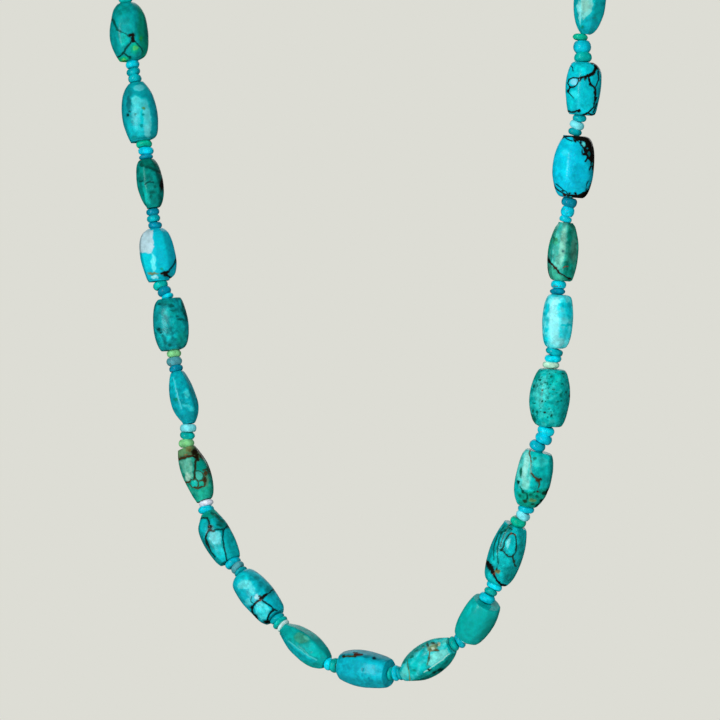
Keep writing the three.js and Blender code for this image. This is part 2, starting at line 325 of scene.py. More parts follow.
looks["barrel_07"] = {
    "tones": ((0, 158, 158), (0, 146, 144)), "ridge": 24, "flat": 0.06, "edge": 30,
    "sides": (
        ((121, 2), (117, 4.5), (113.4, 9.5), (111.5, 17), (110, 26), (109.4, 33), (109.8, 39),
         (111.3, 45.5), (113.3, 50.5), (115.5, 55), (118, 59.3), (120.5, 62.3)),
        ((132.5, 2), (136.5, 3.7), (140, 6.7), (143, 11), (145.3, 15.5), (147.2, 24), (148.5, 34),
         (148.8, 44), (148, 50), (146.3, 55), (143.5, 58), (139.5, 59.8)),
    ),
    "areas": [((0, 136, 104), 0.8, 3, (138, 2), (138, 30), (142, 60), (152, 60), (152, 2))],
    "patches": [
        # the dark patch along the right edge at 147, 22 is painted shade
        (147, 22, 3, 20, (0, 92, 88), 0.6), (124, 39, 4, 6.5, (52, 184, 172), 0.75, 14),
        (135.5, 48.5, 5.5, 5.5, (0, 168, 132)), (135.8, 48, 2.6, 2.4, (98, 192, 112)),
        (123.3, 60.3, 6, 3.4, (40, 180, 118)), (123.6, 60.3, 2.2, 1.5, (112, 198, 106)),
        (141, 38.5, 1.5, 2.6, (60, 150, 76)), (120, 9, 9, 6, (0, 132, 122), 0.6),
    ],
    "veins": [
        (2, (0, 82, 74), (111, 17.5), (113.8, 22), (115.8, 26.5), (117.3, 29.8), (120.8, 31.6)),
        (1.1, (0, 104, 98), (120.8, 31.6), (125, 33.5), (128.5, 35.8)),
        (1.6, (0, 66, 60), (132, 41.5), (128, 46), (125, 50), (123.3, 53), (120.8, 55.3),
         (117, 57.8)),
        (1.4, (0, 70, 60), (123.8, 53), (127, 56), (129.5, 58)),
        (1.4, (0, 84, 78), (135.5, 42.5), (138.3, 45), (141, 48), (142.3, 51.5)),
    ],
    "blots": [
        (130.6, 35.3, 3.2, 1.5, black, -12), (133.2, 35, 1.8, 1.9, black),
        (132.7, 38.7, 1.7, 2.8, black), (133.3, 41.3, 2.4, 1.2, black),
        (129.9, 57.8, 1.5, 1.3, (0, 60, 52)), (123, 53, 1.5, 1.2, (0, 46, 40)),
    ],
}
looks["barrel_08"] = {
    "tones": ((0, 150, 158), (0, 160, 168)), "flat": 0.04, "polish": 0.5, "grain": 0.7,
    "sides": (
        ((131, 82.5), (127.8, 85), (124.7, 89.5), (122.6, 95), (121.6, 102), (121.3, 110),
         (121.8, 117), (123.2, 124), (125.2, 130), (127, 135), (129, 139.5), (130.7, 142.3)),
        ((141, 80.8), (143.5, 82), (147.2, 86), (150.5, 90.5), (153.4, 96), (155.8, 103),
         (157.5, 111), (158.3, 120), (158.3, 130), (157.3, 135), (155, 137.8), (151, 139)),
    ),
    "patches": [
        (128, 92, 4, 6, (0, 126, 132)), (139.5, 88, 6, 3.2, (98, 198, 204), 0.9),
        (136, 100, 5.5, 5, (98, 204, 206), 0.9), (142, 105, 7, 7, (90, 200, 204), 0.85),
        (137, 115, 5, 10, (90, 200, 206)), (147, 118, 4.5, 14, (104, 208, 212), 0.85, -8),
        (141, 128, 8, 7, (76, 198, 206), 0.75), (147.5, 131, 3.4, 7, (116, 212, 216), 0.8, -6),
        (131, 131, 4.5, 8, (30, 178, 188), 0.7), (128.6, 103, 2.2, 7, (0, 96, 104), 0.85, -4),
        (142, 117, 1.6, 9, (40, 184, 192), 0.6), (155.5, 106, 4, 20, (0, 142, 156), 0.75, -10),
    ],
    "blots": [
        (143.8, 108, 1.7, 1.4, (78, 140, 82)), (128, 115, 1.3, 1.7, (0, 54, 54)),
        (135.5, 114, 1.4, 1.2, (0, 138, 138)), (143.2, 114.6, 1.2, 1.1, (0, 146, 146)),
        (142, 125.5, 1.8, 1.5, (0, 138, 140)), (134, 137.5, 2.4, 1.5, (0, 140, 140)),
        (129.5, 111, 1.5, 1.2, (0, 84, 90)),
    ],
}
looks["barrel_09"] = {
    "tones": ((0, 130, 122), (0, 118, 110)), "ridge": -22, "flat": 0.035, "grain": 1.3,
    "sides": (
        ((141, 159), (138.3, 161.5), (136.8, 165), (136.1, 170), (136.2, 178), (136.9, 185),
         (138, 190), (139.8, 195), (141.8, 200), (144, 204.2), (146.8, 207.5)),
        ((152.5, 158), (155, 160), (157.5, 163), (159.5, 167), (161.2, 172), (162.8, 178),
         (163.8, 185), (164, 192), (163.4, 198), (162.2, 203), (160.5, 206.5), (158, 208)),
    ),
    "patches": [
        (149, 163, 11, 4.5, (0, 102, 88), 0.9, 12), (143.5, 172, 5, 5, (0, 142, 128), 0.6),
        # the pale streak of the patches at 147.5, 199 and 145, 190 is a painted highlight
        (147.5, 199, 3, 7, (64, 178, 168), 0.75, -12), (145, 190, 2, 8, (52, 170, 162), 0.6, -8),
        (159, 176, 3, 12, (0, 96, 88), 0.7, -10),
    ],
    "veins": [
        (2.2, (0, 72, 64), (146.5, 167), (151.5, 168), (156.5, 170.5), (161, 173)),
        (1.4, (0, 76, 70), (139.8, 181.3), (142.8, 181.3)),
        (1.4, (0, 76, 70), (145.3, 184.5), (147, 182.3), (150, 181.8), (153.5, 182.3)),
    ],
    "blots": [
        (162.4, 184, 2.4, 6, black, 4), (141.5, 165, 2, 1.5, (0, 76, 66)),
        (155, 187, 1.3, 1.1, (0, 92, 84)), (152.5, 192.5, 1.5, 1.2, (0, 88, 80)),
        (151, 196.5, 1, 1, (0, 96, 88)),
    ],
}
looks["barrel_10"] = {
    "tones": ((30, 188, 206), (10, 180, 200)), "facets": 8, "ridge": -11, "flat": 0.045, "edge": 60,
    "grain": 0.5,
    "sides": (
        ((148.5, 228.8), (145.4, 231), (142.4, 233.5), (140.4, 237.5), (139.3, 243), (139.2, 249),
         (139.9, 255), (140.8, 260.5), (142.4, 266.5), (144.4, 273), (146.6, 279), (149.2, 283)),
        ((160.5, 227.5), (164.5, 229), (168.2, 232), (170.4, 236), (172.3, 241), (174, 247),
         (175.8, 254), (177, 262), (176.7, 268.5), (175.6, 273.5), (173.5, 276.5), (169.5, 279)),
    ),
    "areas": [
        # the whitish upper left facet is a painted reflection of the key light
        ((176, 204, 212), 0.97, 1, (138, 228), (152.6, 230.5), (153.8, 242), (153.3, 254),
         (138, 252)),
        ((0, 168, 192), 0.8, 1.6, (165, 226), (169, 240), (170.5, 256), (172, 270), (180, 270),
         (180, 226)),
    ],
    "patches": [
        # the pale streak at 153.6, 263 is a painted highlight along the ridge
        (146, 262, 6, 9, (74, 206, 218)), (153.6, 263, 2.3, 9, (122, 226, 230), 0.85, -4),
        (163, 242, 6, 8, (52, 190, 204), 0.5), (161.5, 269, 1.6, 1.5, (60, 140, 110)),
        # the pale spot at 155, 277.3 is a painted glint
        (153, 273.6, 5.4, 1.4, (112, 122, 76), 0.9), (155, 277.3, 3.6, 1.8, (160, 228, 234), 0.9),
        (150, 281, 6, 2, (0, 160, 178), 0.7),
    ],
    "veins": [
        (1.6, (0, 70, 78), (177, 257), (174.6, 263), (171.8, 267.5), (168.8, 271)),
        (2, black, (161.5, 273.8), (165, 272.5), (169, 271.6)),
        (2, black, (165, 273), (168.5, 276), (170.5, 277.5)),
    ],
    "blots": [(165.3, 273.6, 3, 2.6, black), (162.5, 273.8, 2, 1.2, (60, 56, 30))],
}
looks["barrel_11"] = {
    "tones": ((0, 160, 164), (0, 130, 134)), "mottle": 1.9, "ridge": 10, "flat": 0.025,
    "polish": 0.5, "grain": 1.4,
    "sides": (
        ((159, 298.8), (156.2, 301.5), (154.4, 305), (153.3, 310.5), (152.9, 318), (153, 326),
         (153.8, 333), (155.2, 339), (156.9, 344), (158.8, 348), (160.5, 350.5), (163, 352)),
        ((176, 296.8), (180, 297), (182.3, 300), (184.3, 305), (186.2, 311), (187.9, 318),
         (188.8, 326), (188.8, 334), (188, 340.5), (186.5, 345), (184.3, 347.7), (180, 349.6)),
    ),
    "patches": [
        # the pale streak from 163.5, 322 to 169, 335, in three patches, is a painted highlight
        (163.5, 322, 2.8, 3.4, (80, 190, 192), 0.7), (164, 330.5, 2.4, 4.2, (50, 180, 182), 0.6),
        (169, 335, 2.2, 5.5, (56, 182, 184), 0.6, -12), (171, 313, 9, 3.4, (0, 172, 168), 0.7),
        (178, 325, 7, 7, (0, 168, 166), 0.6), (185, 309, 3.4, 10, (0, 88, 86), 0.85, -12),
        (166, 302, 8, 3, (0, 124, 120), 0.7), (182, 339, 6, 8, (30, 152, 140), 0.7),
    ],
    "blots": [
        (158.7, 329.4, 1.8, 1.5, (0, 56, 56)), (160.4, 332.3, 1.3, 1.1, (0, 76, 76)),
        (171.6, 305.6, 2.4, 1.3, (0, 88, 86)), (159.6, 304, 1.6, 1.1, (0, 80, 78)),
        (173.5, 310.5, 2.6, 1, (0, 108, 104)), (181, 319.5, 4.4, 1, (0, 96, 94), 8),
        (177.5, 316.5, 1.5, 0.9, (0, 104, 102)), (170, 345, 1.8, 1.6, (0, 90, 88)),
        (162.5, 336, 1.2, 1.6, (0, 116, 114)), (166, 343, 1.1, 1.4, (0, 112, 110)),
    ],
}
looks["barrel_12"] = {
    "tones": ((0, 160, 172), (8, 150, 162)), "ridge": -22, "edge": 44,
    "sides": (
        ((172.3, 370.8), (170.3, 374.5), (169.4, 379), (169, 386), (169.2, 393), (170, 400),
         (171.5, 406), (173.5, 411), (176, 415.2), (179, 419), (182.5, 422.7)),
        ((181.5, 369.5), (184.7, 372), (187.4, 376), (190.2, 381), (193, 387), (195.4, 393.5),
         (197.5, 399.5), (198.6, 405), (198.5, 411), (197.6, 416), (196, 420.5), (194.3, 423.7)),
    ),
    "patches": [
        # the light strip at 173, 386 is painted light beside the ridge highlight
        (173, 386, 3, 13, (64, 190, 200), 0.8, -8), (178.5, 380, 3, 3, (46, 168, 172), 0.7),
        (186.5, 394, 3, 5, (86, 192, 196), 0.8, -14), (186, 405, 5, 2.2, (86, 194, 198), 0.75, 10),
        (191, 408.5, 3.4, 3, (80, 190, 196), 0.75), (178, 408, 3, 5, (40, 176, 188), 0.6, -20),
    ],
    # this pale line is a painted highlight along the ridge, drawn as a vein
    "veins": [(1.1, (58, 184, 196), (173.3, 378), (175.6, 388), (178.2, 398), (181.5, 409))],
    "blots": [(176, 399.3, 2, 1.4, (0, 134, 108)), (186.5, 403.5, 2.4, 0.9, (0, 150, 156))],
}
looks["barrel_13"] = {
    "tones": ((60, 150, 130), (40, 140, 122)), "mottle": 2, "ridge": -10, "edge": 34,
    "backVeins": 1, "grain": 1.3,
    "sides": (
        ((181, 446.5), (179.2, 448.5), (178.1, 452), (178.3, 458), (179, 464), (180.3, 470),
         (182.2, 476), (184.3, 481), (187, 486), (190, 491.5), (193, 497), (196.5, 502)),
        ((194.5, 445), (197.2, 448), (200.3, 452), (203.8, 456.7), (206.8, 461.5), (209.2, 466.7),
         (211.2, 473), (212.7, 480), (213.5, 487), (213.3, 493), (212.2, 497), (209.8, 499.2)),
    ),
    "areas": [
        ((86, 108, 70), 0.9, 1.8, (176, 443), (196, 443), (206, 456), (198, 459), (190, 455),
         (177, 459)),
        # the pale left facet is a painted highlight
        ((106, 180, 158), 0.85, 1.6, (179, 461), (190.5, 458.5), (192.5, 462), (192, 478),
         (187, 481)),
        ((64, 178, 152), 0.7, 1.6, (199, 489), (212, 482), (213, 498), (196, 502)),
    ],
    "patches": [
        (183, 452, 4.5, 3.6, (98, 146, 104), 0.85), (188.5, 449, 3.4, 3, (120, 128, 80), 0.7),
        (201, 466, 5, 4.8, (0, 142, 126), 0.9), (198.8, 476, 4.2, 4.2, (84, 178, 162), 0.9),
        (194.5, 484, 3.6, 3.6, (60, 180, 168), 0.9), (202, 483.3, 2.6, 2.8, (60, 168, 142)),
        # the whitish streak at 187.5, 477 is a painted highlight
        (187.5, 477, 2.6, 5, (166, 214, 194), 0.85, -14),
        (209.5, 468, 2.4, 9, (30, 78, 60), 0.85, -14), (206, 480, 3, 6, (96, 128, 96), 0.6),
    ],
    "veins": [
        (2.4, (60, 42, 18), (176, 459.8), (181, 458.8), (187, 457), (192, 455.7)),
        (2, (28, 20, 6), (192, 455.7), (196, 457.5), (198.5, 459.5)),
        (1.8, (36, 40, 20), (197, 458.5), (195.5, 463), (194.8, 470), (194, 478.5)),
        (1, (40, 82, 62), (195, 471.5), (198.5, 471), (202.3, 472.8), (204, 476), (202.8, 479.7),
         (199, 480.7), (195.5, 478.7), (194.7, 475), (195, 471.5)),
        (1.7, (66, 52, 26), (184.5, 482.8), (189.5, 482)),
        (1.1, (52, 78, 48), (189.5, 482), (191.5, 479.6), (195.5, 479.5), (199, 482.7),
         (198.7, 486), (196, 488.3), (192, 487.5), (189.8, 484.5)),
        (1.1, (70, 58, 30), (199.8, 481.3), (203, 480), (205.2, 482.7), (204, 486.3), (200.8, 487)),
        (1.8, (60, 48, 22), (194, 487.3), (198, 488.8), (201.5, 486.8)),
        (1.3, (46, 66, 42), (203, 470), (207, 469), (210, 472)),
    ],
    "blots": [
        (194.8, 451.8, 2.8, 3.6, (24, 18, 6), 20), (197.2, 456.5, 2.2, 3.6, (24, 18, 6)),
        (203, 455.5, 3.2, 3.4, (36, 38, 18), 30), (200, 451.5, 2, 1.6, (60, 56, 26)),
        (205.8, 473.3, 2, 2.3, (72, 56, 30)), (205, 480, 1.5, 3.6, (52, 40, 20)),
        (190, 450.5, 1.6, 1.2, (90, 84, 44)), (186, 455, 1.6, 1, (110, 96, 50)),
    ],
}
looks["barrel_14"] = {
    "tones": ((20, 166, 170), (0, 150, 152)), "ridge": 15, "edge": 36, "grain": 1.2,
    "sides": (
        ((202.3, 510.5), (201.4, 515), (199.8, 520), (198.2, 525.5), (197.8, 529.5), (199.2, 535),
         (201.2, 540.3), (204, 546), (207.6, 551.5), (211.5, 557), (216, 562.3), (221.5, 566.6)),
        ((213, 508), (216.5, 511.3), (221.3, 516.3), (225.7, 521.3), (229.4, 527), (232.7, 533),
         (235.7, 539.3), (238.2, 546), (240, 552.5), (240.2, 556.5), (238.5, 558.3)),
    ),
    "areas": [
        ((0, 146, 126), 0.85, 1.6, (199, 508), (214, 506), (221, 515), (210, 519), (201, 517.5)),
        ((60, 178, 182), 0.7, 1.6, (196, 521), (206, 520), (208, 531), (204.5, 538), (197, 532)),
        # the pale island in this outline is a painted highlight on a flat
        ((112, 208, 214), 0.9, 1.4, (211, 532), (218, 530.5), (222, 537), (221, 545), (213, 545),
         (209, 538)),
        ((52, 190, 196), 0.8, 1.6, (213, 545), (222, 545), (226, 560), (221, 563), (214, 553)),
        ((0, 168, 174), 0.7, 1.4, (226, 528), (240, 545), (240, 554), (228, 559), (224.5, 545),
         (223.5, 533)),
    ],
    "patches": [
        (215, 522, 4, 4, (30, 176, 178), 0.6), (221, 524, 5, 3.4, (0, 104, 94), 0.75, 30),
        (208, 548, 3, 8, (0, 132, 134), 0.7, -24),
    ],
    "veins": [
        (1.6, (10, 50, 44), (200.5, 518), (207.5, 518), (209.5, 523)),
        (1.9, (20, 38, 32), (209.7, 530), (206.4, 534.3), (205.4, 538.5), (207, 543), (209, 547.5)),
        (1.3, (0, 70, 68), (209, 547.5), (211.5, 552.5), (215, 557)),
        (1.3, (0, 70, 66), (212, 531.3), (216.5, 529), (221, 530), (224, 528.6)),
        (1.3, (0, 60, 62), (229.5, 524), (225.5, 527.3), (223, 531.3), (223.2, 540), (224.2, 549),
         (226, 557.5), (227.8, 562)),
        (1, (0, 96, 86), (215, 514), (219, 519), (224, 522)),
    ],
    "blots": [
        (209.7, 526.5, 2.3, 2.3, black), (209.6, 526.3, 1.3, 1.2, (150, 96, 44)),
        (210.5, 530.5, 2.3, 1.4, black, 20), (213.5, 531, 1.4, 0.9, (20, 60, 52)),
        (218, 517, 2.8, 1.2, (0, 84, 74), 35), (222, 521, 2.6, 1.1, (0, 84, 74), 35),
        (218.5, 525, 2.8, 1, (0, 92, 82), 10), (228.5, 525.5, 2.2, 2.4, (0, 60, 58), 40),
        (212.5, 513.5, 2, 1, (0, 92, 80), 30),
    ],
}
looks["barrel_15"] = {
    "tones": ((0, 180, 194), (0, 168, 182)), "mottle": 2.6, "ridge": 20, "flat": 0.045,
    "polish": 0.45,
    "sides": (
        ((236.3, 578), (233.8, 582), (232.3, 586), (233.4, 589.5), (236.8, 595.5), (240.3, 601),
         (244.5, 606), (248.5, 610.3), (252.3, 614), (256.3, 618.5), (260.7, 622.2), (266, 624.3),
         (269.5, 623.5)),
        ((247, 569.5), (250, 569), (253.3, 570), (257.5, 572.5), (262, 576), (267, 580.7),
         (271.5, 585.7), (275.3, 590.7), (278.5, 595.8), (281.5, 601), (283.8, 605.7),
         (283.8, 609.3), (282, 612.5)),
    ),
    "areas": [
        ((98, 216, 222), 0.9, 1.3, (257.5, 601.5), (266.5, 603.5), (271, 610), (266, 618),
         (261.5, 620.5), (256, 613.5), (254.3, 606.5)),
    ],
    "patches": [
        (243, 577, 7, 4, (40, 200, 206), 0.6), (244.5, 584.5, 8, 4.6, (112, 218, 222), 0.9, -8),
        (252.5, 590, 4, 4.4, (96, 212, 218), 0.85, -30),
        (257.4, 597, 2.4, 2.8, (166, 222, 230), 0.95), (249, 602, 4.2, 3.6, (104, 212, 220)),
        (246, 592, 3, 3, (0, 160, 172), 0.6), (262, 611, 4, 6, (64, 204, 210), 0.5, -20),
        (257, 578.3, 3, 2, (0, 128, 136), 0.85, 30),
        (260.5, 583.5, 2.6, 3, (0, 136, 146), 0.75, 30), (268, 589, 4, 3, (0, 120, 126), 0.8, -40),
        (273, 590, 3, 6, (0, 130, 140), 0.7, 30),
    ],
    "veins": [
        (2.4, black, (260.5, 598.5), (263.5, 596.7), (267, 594.3)),
        (1.3, (0, 60, 62), (267, 594.3), (270.5, 591.5), (274.5, 588.5)),
        (1.8, (8, 30, 28), (258.5, 600.5), (255, 603), (252.2, 606.8), (252, 611), (254, 615.3),
         (257.5, 619)),
        (1.6, (0, 56, 58), (262.5, 600.5), (267, 603.3), (271.3, 606), (274, 609.5),
         (276.5, 610.5)),
        (1.9, (6, 26, 24), (273.7, 610), (269.8, 613.7), (267.8, 618), (266.5, 622)),
        (0.9, (0, 110, 116), (252, 596), (251, 601), (253.5, 604)),
    ],
    "blots": [
        (259.8, 600, 1.6, 1.2, (112, 60, 36)), (261.6, 598, 1.8, 1.5, black),
        (252.2, 607, 1.8, 1.7, black), (267, 622, 3.4, 1.8, black), (273.8, 609.7, 1.8, 1.3, black),
        (255.5, 616.5, 1.6, 2.6, black, -30), (259.5, 596, 1.3, 1, (40, 70, 70)),
    ],
}
looks["barrel_16"] = {
    "tones": ((0, 162, 156), (0, 150, 146)), "mottle": 4, "ridge": -26, "flat": 0.09, "edge": 70,
    "sides": (
        ((278, 632.3), (280.3, 635), (282.5, 639), (284.8, 643.5), (287.7, 648.2), (291.5, 652.5),
         (296.3, 657), (301.7, 661.5), (307, 665.2), (312.5, 667.5), (318.5, 668.6), (324.5, 668),
         (329, 666.7)),
        ((288.5, 623.3), (293.5, 624.3), (298.7, 625.2), (304.5, 627.4), (310.5, 630.7),
         (316, 634.5), (321, 639), (325, 643.7), (328.2, 648.3), (330.3, 652.5), (331.8, 656.7)),
    ),
    "areas": [
        ((0, 182, 192), 0.85, 1.6, (280, 637), (290, 643), (301, 650.5), (310, 657.5), (318, 661.5),
         (312, 663), (300, 659), (288, 650)),
        ((64, 188, 184), 0.6, 2, (303, 647), (312, 641), (320, 650), (320, 659), (311, 656)),
    ],
    "patches": [
        (301, 638.3, 8, 5.2, (66, 146, 124), 0.95, 22),
        (306.5, 638, 3.6, 2, (92, 176, 160), 0.6, 30),
        (283, 637.5, 4, 2.6, (62, 184, 190), 0.6, 30), (290, 628, 6, 2.5, (0, 172, 164), 0.5, 12),
    ],
    "veins": [
        # this pale line is a painted highlight along the ridge, drawn as a vein
        (1.3, (60, 184, 186), (288, 641.3), (295, 646), (302, 651.3), (309, 656.3), (316.5, 660)),
    ],
    "blots": [(311, 652.5, 1.2, 1, (40, 160, 156))],
}
looks["barrel_17"] = {
    "tones": ((0, 176, 194), (0, 168, 184)), "mottle": 5, "ridge": 40, "flat": 0.035, "polish": 0.5,
    "backVeins": 0.4,
    "sides": (
        ((336, 658), (338.8, 655), (343, 652), (348.5, 650.3), (354.5, 649.7), (361, 649.8),
         (367.5, 650.7), (374, 652.2), (380.5, 654.2), (386, 656.3), (391, 659), (394, 662.5)),
        ((335.5, 674.3), (338.3, 677), (341.5, 679.7), (346, 682.2), (351.5, 684.4), (358, 686.3),
         (365, 687.5), (372.5, 688), (380, 688.1), (386, 687.6), (391, 686), (394.5, 683.3)),
    ),
    "areas": [
        ((0, 144, 160), 0.85, 1.8, (336, 648), (396, 648), (390, 662), (378, 661), (368, 657.5),
         (350, 657.3), (338, 659)),
    ],
    "patches": [
        (372, 670, 10, 9, (0, 190, 210), 0.5), (348, 670, 9, 10, (0, 176, 196), 0.5),
        (366, 656.7, 4, 1.2, (0, 124, 134), 0.85), (353, 651.5, 6, 1.2, (0, 166, 182), 0.5),
    ],
    "veins": [
        (1.4, (58, 62, 20), (343, 656.3), (348, 656), (352.5, 656.4), (356, 655.3)),
        (2.2, (72, 28, 14), (354.5, 654.7), (358, 654.2), (361.8, 654.7)),
        (1, (20, 34, 24), (353.5, 653), (357, 652.7)),
    ],
    "blots": [
        (343.8, 656, 1.4, 1.4, black), (355.3, 655.8, 1.4, 1, black),
        (374.2, 658.3, 1.6, 1.3, (0, 44, 54)), (362.5, 669.7, 1.4, 1.5, (0, 138, 156)),
        (362, 675, 1.1, 1.8, (0, 152, 172)), (368.7, 678.3, 1.4, 1.3, (0, 136, 156)),
        (371, 680.7, 2.6, 0.9, (0, 140, 160)), (340, 658, 1, 2.2, (0, 130, 146), 20),
    ],
}
looks["barrel_18"] = {
    "tones": ((84, 202, 202), (54, 188, 188)), "mottle": 1.8, "facets": 5, "ridge": 35, "flat": 0.1,
    "edge": 70, "grain": 1.3,
    "sides": (
        ((400.2, 668), (401.5, 664), (403.7, 659.5), (407, 655), (411, 651), (415.5, 647.5),
         (420.5, 644.3), (425.5, 641.6), (431, 639.6), (437, 638.4), (443, 638), (449, 637.8)),
        ((401, 678.3), (404.7, 680.6), (410, 681.7), (416, 681.7), (422, 681.2), (428, 679.7),
         (433.5, 677.2), (438.7, 674), (443.5, 670), (447.7, 666), (451.2, 661.3), (454, 656.8),
         (455.8, 652.5), (456.2, 650)),
    ),
    "areas": [
        # the darker lower facet below the ridge is painted shade
        ((0, 148, 138), 0.9, 1.3, (409, 682.5), (430, 669.3), (449.5, 655), (458, 652), (452, 664),
         (438, 677), (420, 684)),
        ((0, 160, 150), 0.8, 2, (400, 664), (412, 647), (430, 637), (446, 636), (431, 642.5),
         (418, 651), (408, 661)),
        ((134, 214, 206), 0.7, 1.6, (430, 655), (447, 648), (449, 653.5), (432, 665.5), (426, 664)),
    ],
    "patches": [
        # the whitish patch at 404, 672 is a painted highlight on the end's rim
        (404, 672, 3.6, 7, (110, 200, 190), 0.6, 20), (413, 672, 3, 2.6, (20, 170, 162), 0.7),
        (432.5, 647.5, 5.5, 4, (126, 144, 104), 0.9, -20),
        (433.3, 648.2, 1.6, 1.2, (196, 226, 204), 0.9),
        (439.3, 644.5, 1.9, 2, (196, 196, 160), 0.9), (445, 642, 3, 3, (96, 196, 184), 0.7),
    ],
    "veins": [
        (1.3, (98, 104, 70), (430, 649), (429.6, 653.5), (428.7, 658)),
        (1.2, (60, 130, 110), (428.7, 658), (427.6, 661), (427, 664.5)),
        (1.1, (60, 120, 96), (407.3, 661), (408, 666), (408.5, 670)),
        (1.1, (110, 150, 104), (408.5, 670), (409.3, 675), (409.8, 680.5)),
        # this pale line is a painted highlight along the ridge, drawn as a vein
        (1.1, (150, 214, 204), (424, 672.5), (433, 666), (441, 660.3), (449, 654.3)),
    ],
    "blots": [
        (433, 643, 1.7, 1, (40, 76, 50)), (427.3, 645, 1.2, 2.2, (30, 76, 54)),
        (430.5, 650.5, 1.8, 1.2, (88, 92, 54)), (436.5, 650.3, 2.3, 1.2, (84, 78, 44)),
        (437, 645.5, 1, 2, (70, 116, 84)), (428.6, 658.2, 1.3, 2.3, (18, 64, 44), 12),
        (429, 669.3, 1.8, 1.5, (4, 44, 28)), (434.5, 672.3, 2.4, 1.1, (0, 72, 58), -20),
        (440.5, 670, 2.6, 1.2, (0, 66, 54), -25), (443.5, 673.3, 1.5, 1.2, (0, 60, 50)),
        (411.8, 656.5, 2, 1.2, (0, 124, 110), -30), (416.8, 650.7, 1.7, 1, (0, 120, 106), -30),
        (414, 670.5, 1.8, 1, (0, 140, 128)), (423, 646.3, 1.2, 0.9, (0, 124, 110)),
        (404, 662.5, 1.6, 1, (0, 140, 128)),
    ],
}
looks["barrel_19"] = {
    "tones": ((0, 172, 166), (0, 164, 158)), "mottle": 6, "facets": 8, "flat": 0.015,
    "backVeins": 0, "grain": 0.6, "polish": 0.4,
    "sides": (
        ((457.3, 637.5), (455.4, 633.5), (455.1, 629.5), (456, 624.5), (458.2, 618.5), (461, 612.5),
         (464.3, 607), (468.2, 601.7), (472.5, 596.8), (477, 593.7), (481, 592.5)),
        ((467.5, 641.7), (473, 643.2), (477.7, 643.3), (481.5, 641.2), (486, 637), (490.5, 631.7),
         (494.3, 625.7), (497.2, 619.3), (499.2, 613), (500, 608), (499.5, 604.5)),
    ),
    "patches": [
        # these three patches are painted light and shade: the lower right darker, a lighter streak
        # on the left and a highlight at 469.5, 611
        (487, 633, 5, 16, (0, 138, 126), 0.7, 27), (462, 617, 4, 14, (0, 182, 172), 0.5, 28),
        (469.5, 611, 1.8, 6.5, (44, 198, 194), 0.7, 26),
    ],
}
looks["barrel_20"] = {
    "tones": ((26, 178, 182), (0, 160, 164)), "mottle": 2.2, "ridge": 18, "flat": 0.05,
    "backVeins": 1, "grain": 1.3,
    "sides": (
        ((490.3, 584), (487, 580.3), (485, 576.5), (484.4, 572), (485.2, 566), (486.5, 559.5),
         (488.3, 552.5), (490.6, 545.7), (493.4, 539), (496.7, 532.7), (500, 527.5), (504, 522.3)),
        ((501, 586), (506.5, 585.7), (510, 583), (514, 578.2), (517.5, 571.7), (520.2, 565),
         (522.7, 558), (524.7, 551), (526.1, 544), (526.7, 537), (526.7, 531.7), (525, 527.5)),
    ),
    "areas": [
        ((66, 190, 192), 0.85, 1.4, (482, 564), (489, 569), (492.5, 575.5), (497, 585), (482, 585)),
        ((0, 142, 138), 0.7, 2.2, (518, 530), (521, 545), (517, 562), (508, 582), (520, 582),
         (528, 545)),
        ((62, 188, 192), 0.75, 1.6, (504.5, 543), (509, 537), (514, 537), (515, 548), (512, 555),
         (505, 552)),
    ],
    "patches": [
        (495, 560, 4, 10, (60, 186, 186), 0.7, 12), (504, 563, 6, 8, (40, 176, 176), 0.6, 14),
        # the whitish streak at 508.5, 543.5 is a painted highlight
        (508.5, 543.5, 1.5, 5, (140, 222, 224), 0.8, 10), (507, 529, 6, 4, (0, 106, 94), 0.7),
        # the pale strip at 524.5, 542 is a painted highlight along the ridge by the right edge
        (497.5, 571.8, 3, 2.2, (112, 108, 60), 0.95), (524.5, 542, 1.2, 13, (60, 186, 190), 0.6, 8),
        (509, 574, 6, 8, (0, 138, 134), 0.6, 20),
    ],
    "veins": [
        (1.3, (20, 58, 48), (511, 533.3), (507.3, 537), (504.3, 541), (503.8, 546), (501.7, 550),
         (505, 553.7), (507.3, 556.7), (512, 557), (515.2, 553), (516.5, 548), (516.2, 541.5),
         (515.5, 536.3), (513.2, 533.5), (511, 533.3)),
        (1.4, (30, 62, 44), (513, 557), (513.6, 562), (515.8, 566.3)),
        (1.1, (0, 86, 76), (508.5, 526.5), (502.5, 532), (499, 539), (497.6, 548), (497.4, 556),
         (498.4, 564)),
        (1, (0, 92, 82), (503.5, 527), (498, 534.5), (494.8, 543), (493.3, 552), (493.6, 560)),
        (0.8, (0, 96, 86), (505.5, 533), (501.7, 540), (500, 547.5)),
        (3.5, black, (484, 559.5), (488, 563.7), (491, 568), (493, 572.3)),
        (2, black, (493, 572.3), (494.8, 577), (497.6, 581.3), (501.3, 584.6), (506, 585.6)),
        (1.1, (0, 80, 70), (513, 523), (508, 526), (512, 530)),
    ],
    "blots": [
        (490, 566.5, 2.8, 3.4, black, -30), (493.8, 574, 1.3, 2.6, (110, 56, 28), -20),
        (511.5, 533.4, 1.4, 1.1, rust), (514.6, 534.8, 1.1, 1, rust),
        (501.8, 550.3, 1.6, 1.3, (10, 50, 42)), (514, 561.5, 1.3, 1.8, (44, 60, 34)),
        (501.5, 532.8, 2, 1.2, (0, 70, 60), -40), (505.2, 530.5, 1.3, 1, (0, 66, 56)),
        (510, 528.5, 1.4, 1, (0, 76, 66)), (496.5, 569, 1, 1.6, (40, 50, 30)),
    ],
}
